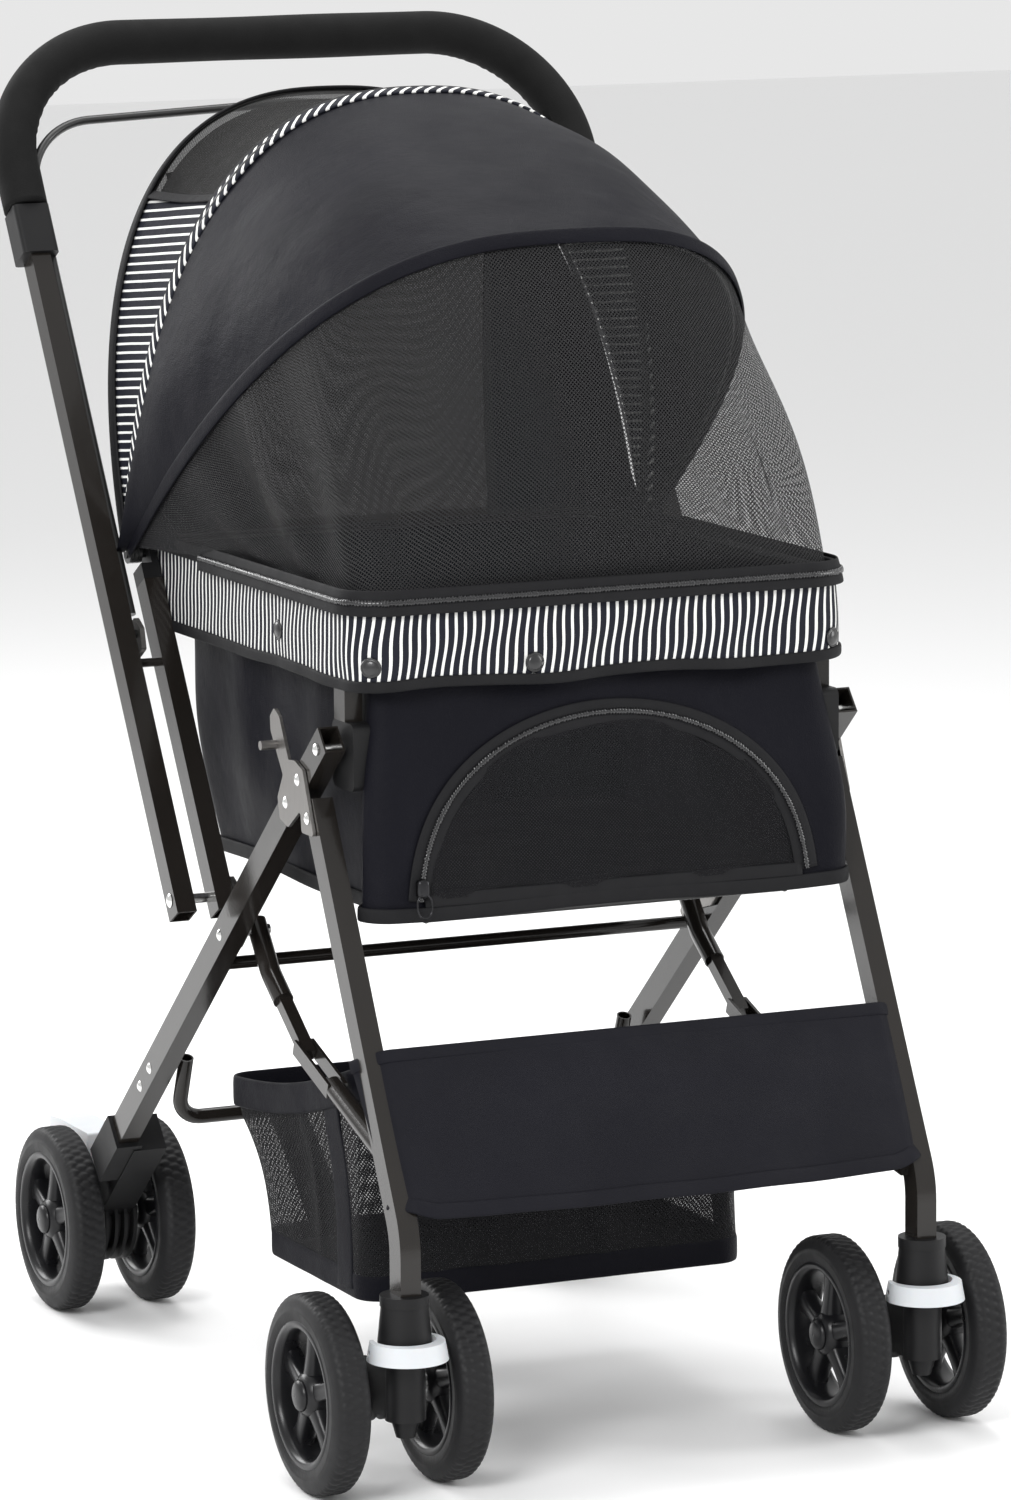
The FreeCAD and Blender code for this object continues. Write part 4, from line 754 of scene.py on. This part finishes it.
under = np.concatenate([flat, np.full((TUB_COLUMNS, 1), TUB_FLOOR + 0.001)], 1)[None]
middle = np.array([0, flat[:, 1].mean(), TUB_FLOOR - 0.001])
surface("cabin_floor_cloth", middle + (under - middle) * rings, charcoal, "rear_frame",
        close_v=True, wall=0.0012)


def floor_seam(share):
    """The height of the seam round the floor, which waves a little along the outline."""
    return TUB_FLOOR + 0.004 + 0.0012 * np.sin(share * 41)


SEAM_COUNT = 420
flat, outward = tub_outline(floor_seam(0.5), SEAM_COUNT)
seam_z = floor_seam(np.linspace(0, 1, SEAM_COUNT))
seam = np.concatenate([flat + outward * 0.003, seam_z[:, None]], 1)
seam_out = np.concatenate([outward, np.zeros((SEAM_COUNT, 1))], 1)
binding("tub_floor_tape", seam[:-1], 0.011, 0.0034, seam_out[:-1], tape, "rear_frame", closed=True)


BAND_COLUMNS, BAND_ROWS, BAND_HEIGHT, BAND_SIDE = 520, 26, 0.060, 0.2005


def band_outline(height, count, grow=0.0):
    """The band's outline: outside the posts at the sides and the rim wire at the ends, with a soft
    outward set towards its lower edge."""
    drop = np.clip((RIM_Z - height) / 0.058, 0, 1)
    flat, outward, at = rounded_loop(BAND_SIDE + 0.0005 * drop, RIM_FRONT - 0.0055 - 0.004 * drop,
                                     RIM_BACK + 0.004 + 0.002 * drop, RIM_CORNER + 0.008, count)
    return flat + outward * grow, outward, at


band_rows, band_uv = [], []
band_share = np.linspace(0, 1, BAND_COLUMNS)
front_of = np.exp(-((band_share - 0.5) / 0.23) ** 4)
for part in np.linspace(0, 1, BAND_ROWS):
    height = RIM_Z + 0.004 - part * BAND_HEIGHT
    flat, outward, at = band_outline(height, BAND_COLUMNS)
    ripple = front_of * part * (0.0020 * np.sin(band_share * 83) + 0.0012 * np.sin(band_share * 147 + 1.0))
    belly = 0.0016 * math.sin(math.pi * part) * front_of
    moved = flat + outward * (ripple + belly)[:, None]
    z = height - 0.0015 * part * np.sin(band_share * 57) * front_of
    band_rows.append(np.concatenate([moved, z[:, None]], 1))
    band_uv.append(np.stack([at + 0.0006 * np.sin(part * 9 + band_share * 90),
                             np.full(BAND_COLUMNS, part * BAND_HEIGHT)], 1))
band_points = np.array(band_rows)
upright = Shader("navy_white_upright_stripes", NAVY, 0.75, specular_ior_level=0.15)
_, (upright_u, _, _) = upright.place("UV")
upright.put("Base Color", upright.tint(upright_u.saw(0.0072) < 0.32, NAVY, WHITE))
upright_vector = upright.uneven(200.0, 0.2, 0.62)
upright.bump(upright.noise(upright_vector, 600.0) * 0.5 + upright.noise(upright_vector, 40.0),
             0.001, 0.5)
surface("cabin_band", band_points, upright, "rear_frame", np.array(band_uv), flip=True,
        wall=0.0009)
low_edge, top_edge = band_points[-1], band_points[0]
_, outward, _ = band_outline(RIM_Z, BAND_COLUMNS)
level_out = np.concatenate([outward, np.zeros((BAND_COLUMNS, 1))], 1)
binding("band_lower_tape", low_edge + level_out * 0.0005, 0.0085, 0.0036, level_out, tape, "rear_frame")
binding("band_upper_tape", top_edge + level_out * 0.0002 + (0, 0, 0.002), 0.012, 0.0045,
        level_out, tape, "rear_frame")
flat, _, _ = band_outline(RIM_Z, BAND_COLUMNS, -0.0095)
top_inner = np.concatenate([flat, np.full((BAND_COLUMNS, 1), RIM_Z + 0.0052)], 1)
binding("rim_cap_tape", top_inner, 0.018, 0.0030, np.tile([0.0, 0.0, 1.0], (BAND_COLUMNS, 1)),
        tape, "rear_frame")

# ------------------------------------------------------------------ zips and snaps
# Coil zips: two rows of small nylon teeth on woven tape, with a sprung puller. One closes the
# front screen along the rim, and one goes over the arched door. Snaps hold the band down.
zip_teeth = Shader("black_coil_zip", (0.006, 0.006, 0.007), 0.25, coat_weight=0.4)
zip_teeth.grained(zip_teeth.uneven(500.0, 0.2, 0.18), 1500.0, 0.0002, 0.3)


ZIP_PITCH, ZIP_LIFT = 0.0024, 0.0016


def coil_zip(name, line, out, body):
    """A closed zip along a line: woven tape, and a fine rib down its middle that is wider and
    narrower by turns, one tooth per pitch."""
    run = length_along(line)
    fine = np.arange(0, run[-1], ZIP_PITCH / 4)
    dense = np.stack([np.interp(fine, run, line[:, k]) for k in range(3)], 1)
    away = unit(np.stack([np.interp(fine, run, out[:, k]) for k in range(3)], 1))
    binding("zip_tape_" + name, line, 0.019, 0.0016, out, tape, body)
    ahead = unit(np.gradient(dense, axis=0))
    away = unit(away - (away * ahead).sum(1, keepdims=True) * ahead)
    wide = np.cross(ahead, away)
    turn = np.linspace(0, 2 * np.pi, 8, endpoint=False)
    tooth = 0.0019 + 0.0006 * np.sign(np.sin(fine * 2 * np.pi / ZIP_PITCH))
    points = dense[:, None] + away[:, None] * ZIP_LIFT + (
        np.cos(turn)[None, :, None] * wide[:, None] * tooth[:, None, None]
        + np.sin(turn)[None, :, None] * away[:, None] * 0.0011)
    surface("zip_coil_" + name, points, zip_teeth, body, close_v=True)


keep = (band_share > 0.20) & (band_share < 0.80)
rim_line = top_edge[keep] + level_out[keep] * 0.0042 + (0, 0, 0.0012)
coil_zip("rim", rim_line, level_out[keep] + (0, 0, 0.25), "rear_frame")


def tub_front(x, z, grow):
    """A point on the tub's front cloth, at a place across and a height, moved outwards."""
    part = (z - TUB_FLOOR) / (RIM_Z - TUB_FLOOR)
    bowed = 0.004 * np.sin(math.pi * np.minimum(part * 1.3, 1.0))
    return np.stack([x, FRONT_AT_FLOOR + FRONT_RISE * part - bowed - grow, z], -1)


ARCH_COUNT, SILL_COUNT = 200, 60
FRONT_OUT = [0.0, -1.0, 0.12]
turns = np.linspace(-1, 1, ARCH_COUNT)
door_z = DOOR_FOOT + DOOR_TALL * (1 - np.abs(turns) ** 2.4)
door_x = np.sign(turns) * door_half(door_z)
arch = tub_front(door_x, door_z, 0.0028)
coil_zip("door", arch, np.tile(FRONT_OUT, (ARCH_COUNT, 1)), "rear_frame")
inner = np.linspace(0.0, 0.955, 40)[:, None]
face_x = door_x[None] * inner
face_z = DOOR_FOOT + 0.001 + (door_z[None] - DOOR_FOOT) * inner
door_points = tub_front(face_x, face_z, 0.0030 + 0.0014 * np.sin(face_x * 60) * np.sin(face_z * 40))
door_net = net_shader("black_door_net", 0.0026, 0.30, 0.55, (0.007, 0.007, 0.008))
door = surface("door_net", door_points, door_net, "door", np.stack([face_x, face_z], -1), flip=True)
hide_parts("front_door")
sill = tub_front(np.linspace(-DOOR_HALF + 0.004, DOOR_HALF - 0.004, SILL_COUNT),
                 np.full(SILL_COUNT, DOOR_FOOT), 0.0030)
binding("door_sill_tape", sill, 0.010, 0.0024, np.tile(FRONT_OUT, (SILL_COUNT, 1)), tape,
        "rear_frame")

pull_metal = Shader("black_nickel_puller", (0.03, 0.03, 0.032), 0.28, metallic=0.9)
pull_metal.grained(pull_metal.uneven(300.0, 0.2, 0.2), 900.0, 0.0002, 0.3)

# The slider is a rounded block: four level sections, and each end drawn in to a point.
SLIDER = tub_front(np.array([-DOOR_HALF + 0.001]), np.array([DOOR_FOOT + 0.010]), 0.0065)[0]
SLIDER_SIDES = 28
around = np.linspace(0, 2 * np.pi, SLIDER_SIDES, endpoint=False)
slider_rows = []
for level, wide in ((-0.5, 0.55), (-0.42, 0.9), (0.42, 0.9), (0.5, 0.55)):
    slider_rows.append(SLIDER + np.stack([blunt(np.cos(around), 0.5) * 0.0052 * wide,
                                          np.full(SLIDER_SIDES, level * 0.006),
                                          blunt(np.sin(around), 0.5) * 0.0075 * wide], 1))
slider_ends = [np.repeat(slider_rows[k].mean(0)[None], SLIDER_SIDES, 0) for k in (0, -1)]
surface("door_slider", np.array([slider_ends[0], *slider_rows, slider_ends[1]]), pull_metal,
        "rear_frame", close_v=True)

# The pull is a flattened loop of round wire that hangs from the slider.
PULL_WIRE = 0.0008
around = np.linspace(0, 2 * np.pi, 60, endpoint=False)
pull = SLIDER + np.stack([0.0058 * np.cos(around), -0.0032 + 0.001 * np.sin(around),
                          -0.0125 + 0.0085 * blunt(np.sin(around), 0.75)], 1)
ahead = unit(np.gradient(pull, axis=0))
side = unit(np.cross(ahead, np.array([0.31, 0.17, 0.93])))
up = np.cross(side, ahead)
turn = np.linspace(0, 2 * np.pi, 12, endpoint=False)[None, :, None]
wire_round = PULL_WIRE * (np.cos(turn) * side[:, None] + np.sin(turn) * up[:, None])
surface("door_pull", pull[:, None] + wire_round, pull_metal, "rear_frame", close_u=True, close_v=True)

snap_black = Shader("black_snap_cap", (0.008, 0.008, 0.009), 0.3, coat_weight=0.3)
snap_black.grained(snap_black.uneven(200.0, 0.2, 0.24), 700.0, 0.0002, 0.3)
SNAP_RADIUS, SNAP_HEIGHT, SNAP_RIM = 0.0062, 0.0022, 0.0016


def snap(name, place, axis):
    """A snap's cap: half an ellipse turned about its axis, with a rolled rim and a flat back."""
    axis = unit(axis)
    side = unit(np.cross(axis, (0.3, 0.2, 0.93)))
    up = np.cross(axis, side)
    turn = np.linspace(0, 2 * np.pi, 32, endpoint=False)[None, :, None]
    top = [(r * SNAP_RADIUS, SNAP_HEIGHT * math.sqrt(1 - r * r)) for r in np.linspace(0, 1, 9)]
    profile = np.array(top + [
        (SNAP_RADIUS + SNAP_RIM * 0.3, SNAP_RIM * 0.5), (SNAP_RADIUS + SNAP_RIM, 0.0),
        (SNAP_RADIUS * 0.9, -0.001), (0.00001, -0.001)])
    points = place + profile[:, 0, None, None] * (np.cos(turn) * side + np.sin(turn) * up) + (
        profile[:, 1, None, None] * axis)
    surface(name, points, snap_black, "rear_frame", close_v=True, flip=True)


SNAPS = ((0.292, 0.036), (0.384, 0.047), (0.462, 0.050), (0.614, 0.050), (0.706, 0.036))
for k, (share, drop) in enumerate(SNAPS):
    column = int(share * BAND_COLUMNS)
    row = int(drop / BAND_HEIGHT * (BAND_ROWS - 1))
    snap(f"band_snap_{k}", band_points[row, column] + level_out[column] * 0.0006, level_out[column])

# ------------------------------------------------------------------ rear curtain
# The back of the hood: a window of dark brown lining net between two charcoal panels, sewn to
# the rear bow and the rim. Tape covers the two seams beside the window.
OUTLINE_COUNT = 600
flat, _, _ = rounded_loop(RIM_SIDE - 0.002, RIM_FRONT, RIM_BACK - 0.002, RIM_CORNER, OUTLINE_COUNT)
behind_hinge = slice(int(0.307 * OUTLINE_COUNT), int(0.693 * OUTLINE_COUNT))
back_flat = np.roll(flat, OUTLINE_COUNT // 2, axis=0)[behind_hinge]
back_count = len(back_flat)
foot = np.concatenate([back_flat, np.full((back_count, 1), RIM_Z + 0.006)], 1)
head = bow_points(REAR_BOW, even_turns(REAR_BOW, back_count, 0.003, 0.997), -0.004)
if foot[0, 0] > foot[-1, 0]:
    foot = foot[::-1]
CURTAIN_ROWS = 40
drop = np.linspace(0, 1, CURTAIN_ROWS)[:, None, None]
curtain = head[None] * (1 - drop) + foot[None] * drop
across_share = np.linspace(0, 1, back_count)[None, :]
curtain[..., 1] += 0.010 * np.sin(math.pi * drop[..., 0]) * np.sin(math.pi * across_share) ** 0.6
curtain[..., 1] += 0.002 * np.sin(across_share * 60) * np.sin(math.pi * drop[..., 0])
curtain_uv = np.stack([curtain[..., 0], curtain[..., 2]], -1)
third = back_count // 3
for part_name, span, shader, slot_name in (
        ("left", slice(0, third + 1), charcoal, "dark_fabric"),
        ("window", slice(third, back_count - third), lining_net, "mesh_fabric"),
        ("right", slice(back_count - third - 1, back_count), charcoal, "dark_fabric")):
    surface("curtain_" + part_name, curtain[:, span], shader, "rear_frame", curtain_uv[:, span],
            wall=0.0 if shader is lining_net else 0.0009)
for k, column in enumerate((third, back_count - third - 1)):
    binding(f"curtain_tape_{k}", curtain[:, column], 0.012, 0.0026,
            np.tile([0.0, 1.0, 0.2], (CURTAIN_ROWS, 1)), tape, "rear_frame")

# ------------------------------------------------------------------ base board
# A padded board in charcoal cloth that lies on the cabin floor. Its edge is drawn in a little at
# the top and bottom, and its top is puffed.
BOARD_LOW, BOARD_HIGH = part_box("base_board")
BOARD_COLUMNS, BOARD_CORNER = 200, 0.02
board_rows = []
for part in np.linspace(0, 1, 40):
    inset = 0.00288 * abs(2 * part - 1) ** 8
    z = BOARD_LOW.z + (BOARD_HIGH.z - BOARD_LOW.z) * part
    flat, _, _ = rounded_loop(BOARD_HIGH.x - inset, BOARD_LOW.y + inset, BOARD_HIGH.y - inset,
                              BOARD_CORNER, BOARD_COLUMNS)
    board_rows.append(np.concatenate([flat, np.full((BOARD_COLUMNS, 1), z)], 1))
flat, _, _ = rounded_loop(BOARD_HIGH.x, BOARD_LOW.y, BOARD_HIGH.y, BOARD_CORNER, BOARD_COLUMNS)
middle_y = (BOARD_LOW.y + BOARD_HIGH.y) / 2
for share in np.linspace(0.97, 0.0, 14):
    puff = 0.003 * np.sin(math.pi * share)
    board_rows.append(np.stack([flat[:, 0] * share, middle_y + (flat[:, 1] - middle_y) * share,
                                np.full(BOARD_COLUMNS, BOARD_HIGH.z + puff)], 1))
board = surface("padded_board", np.array(board_rows), charcoal, "rear_frame", close_v=True)
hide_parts("base_board")

# ------------------------------------------------------------------ front apron
# A panel of polyester twill wrapped round both front legs and stitched, with a curved hem
# that sags between them.
twill = Shader("black_polyester_twill", (0.006, 0.006, 0.009), 0.62, specular_ior_level=0.12)
twill_vector = twill.uneven(40.0, 0.2, 0.52)
_, (twill_u, twill_v, _) = twill.place("UV")
twill.put("Base Color", twill.tint(twill.noise(twill_vector, 12.0),
                                   (0.0045, 0.0045, 0.007), (0.008, 0.008, 0.012)))
twill.bump((twill_u + twill_v).wave(0.0013) * 0.15 + twill.noise(twill_vector, 26.0, 4.0), 0.0022, 0.5)
PANEL_LOW, PANEL_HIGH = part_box("front_panel")
PANEL_COLUMNS, PANEL_ROWS = 200, 60
APRON_HALF, APRON_TAPER, HEM_CURVE, FLAT_WIDTH = 0.2215, 0.006, 0.05, 0.47
LEG_UP = np.array([0, 0.4472, 0.8944])
LEG_FRONT = np.array([0, -0.8944, 0.4472])
panel_top = np.array([0, PANEL_HIGH.y, PANEL_HIGH.z - 0.001])
panel_length = (PANEL_HIGH.z - PANEL_LOW.z) / LEG_UP[2]
u = np.linspace(-1, 1, PANEL_COLUMNS)[None, :]
v = np.linspace(0, 1, PANEL_ROWS)[:, None]
x = (APRON_HALF - APRON_TAPER * v) * u
wrap = np.clip((np.abs(x) - 0.198) / 0.0235, 0, 1)
back_off = 0.024 * (1 - np.cos(wrap * math.pi / 2))
hem_drop = panel_length * (v + HEM_CURVE * v * (1 - np.abs(u) ** 2.4)) - (
    0.012 * v * np.clip((np.abs(u) - 0.86) / 0.14, 0, 1) ** 1.5)
sag = 0.010 * (1 - u ** 2) * np.sin(math.pi * np.clip(v * 0.62, 0, 1)) + (
    0.0016 * np.sin(u * 14 + 3 * v) * v * (1 - u ** 2))
panel = (panel_top + x[..., None] * np.array([1.0, 0, 0]) - hem_drop[..., None] * LEG_UP
         + (0.0035 - back_off + sag)[..., None] * LEG_FRONT)
apron = surface("front_apron", panel, twill, "front_frame", np.stack([x, hem_drop], -1), flip=True, wall=0.0012)
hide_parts("front_panel")
ahead_of_legs = np.tile(LEG_FRONT, (PANEL_COLUMNS, 1))
binding("apron_hem", panel[-1], 0.012, 0.0036, ahead_of_legs, twill, "front_frame")
binding("apron_top_seam", panel[0] - 0.004 * LEG_UP, 0.010, 0.0028, ahead_of_legs, twill,
        "front_frame")

# ------------------------------------------------------------------ storage basket
# Net walls with taped corners, a polyester floor and a wide polyester rim that hangs from the
# rear cross tube and the struts.
BASKET_LOW, BASKET_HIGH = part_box("storage_basket")
basket_net = net_shader("black_basket_net", 0.0032, 0.28, 0.5, (0.009, 0.009, 0.010))
BASKET_COLUMNS, BASKET_ROWS = 320, 40
BASKET_SIDE, BASKET_CORNER = 0.168, 0.022
BASKET_TOP_BACK, BASKET_TOP_FRONT = 0.217, 0.272
basket_rows = []
for part in np.linspace(0, 1, BASKET_ROWS):
    front = BASKET_LOW.y + 0.014 * (1 - part)
    back = BASKET_HIGH.y - 0.054 * (1 - min(part * 1.25, 1.0))
    flat, outward, _ = rounded_loop(BASKET_SIDE - 0.008 * (1 - part), front, back, BASKET_CORNER,
                                    BASKET_COLUMNS)
    lean_share = (flat[:, 1] - BASKET_LOW.y) / (BASKET_HIGH.y - BASKET_LOW.y)
    top = BASKET_TOP_FRONT + (BASKET_TOP_BACK - BASKET_TOP_FRONT) * lean_share
    sag = 0.010 * np.sin(math.pi * np.clip(lean_share, 0, 1)) * part
    share = np.linspace(0, 1, BASKET_COLUMNS)
    soft = 0.003 * math.sin(math.pi * part) * (np.sin(share * 47) + 0.6 * np.sin(share * 91 + 1))
    moved = flat - outward * (0.004 * math.sin(math.pi * part) + np.abs(soft))[:, None]
    z = BASKET_LOW.z + 0.001 + (top - sag - BASKET_LOW.z) * part
    basket_rows.append(np.concatenate([moved, z[:, None]], 1))
basket_points = np.array(basket_rows)
basket_uv = np.stack([np.repeat(np.linspace(0, 1.05, BASKET_COLUMNS)[None], BASKET_ROWS, 0),
                      basket_points[..., 2]], -1)
basket = surface("basket_net_walls", basket_points, basket_net, "rear_frame", basket_uv, close_v=True, flip=True)
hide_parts("storage_basket")
bottom = basket_points[0][None]
basket_middle = bottom.mean(axis=1)
rings = np.linspace(1.0, 0.0, 8)[:, None, None]
basket_floor = surface("basket_floor", basket_middle + (bottom - basket_middle) * rings, charcoal, "rear_frame",
                       close_v=True, wall=0.0014)
_, outward, _ = rounded_loop(BASKET_SIDE, BASKET_LOW.y, BASKET_HIGH.y, BASKET_CORNER, BASKET_COLUMNS)
rim_out = np.concatenate([outward, np.zeros((BASKET_COLUMNS, 1))], 1)
basket_rim = binding("basket_rim_tape", basket_points[-1], 0.024, 0.0035, rim_out, charcoal, "rear_frame")
basket_edge = binding("basket_floor_tape", basket_points[1] - rim_out * 0.001, 0.020, 0.003, rim_out,
                      charcoal, "rear_frame")
corner_tapes = []
for k, share in enumerate((0.105, 0.315, 0.685, 0.895)):
    column = int(share * BASKET_COLUMNS)
    corner_tapes.append(binding(f"basket_corner_{k}", basket_points[:, column], 0.030, 0.003,
                                np.tile(rim_out[column], (BASKET_ROWS, 1)), charcoal, "rear_frame"))
for piece in [basket, basket_floor, basket_rim, basket_edge] + corner_tapes:
    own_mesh(piece)
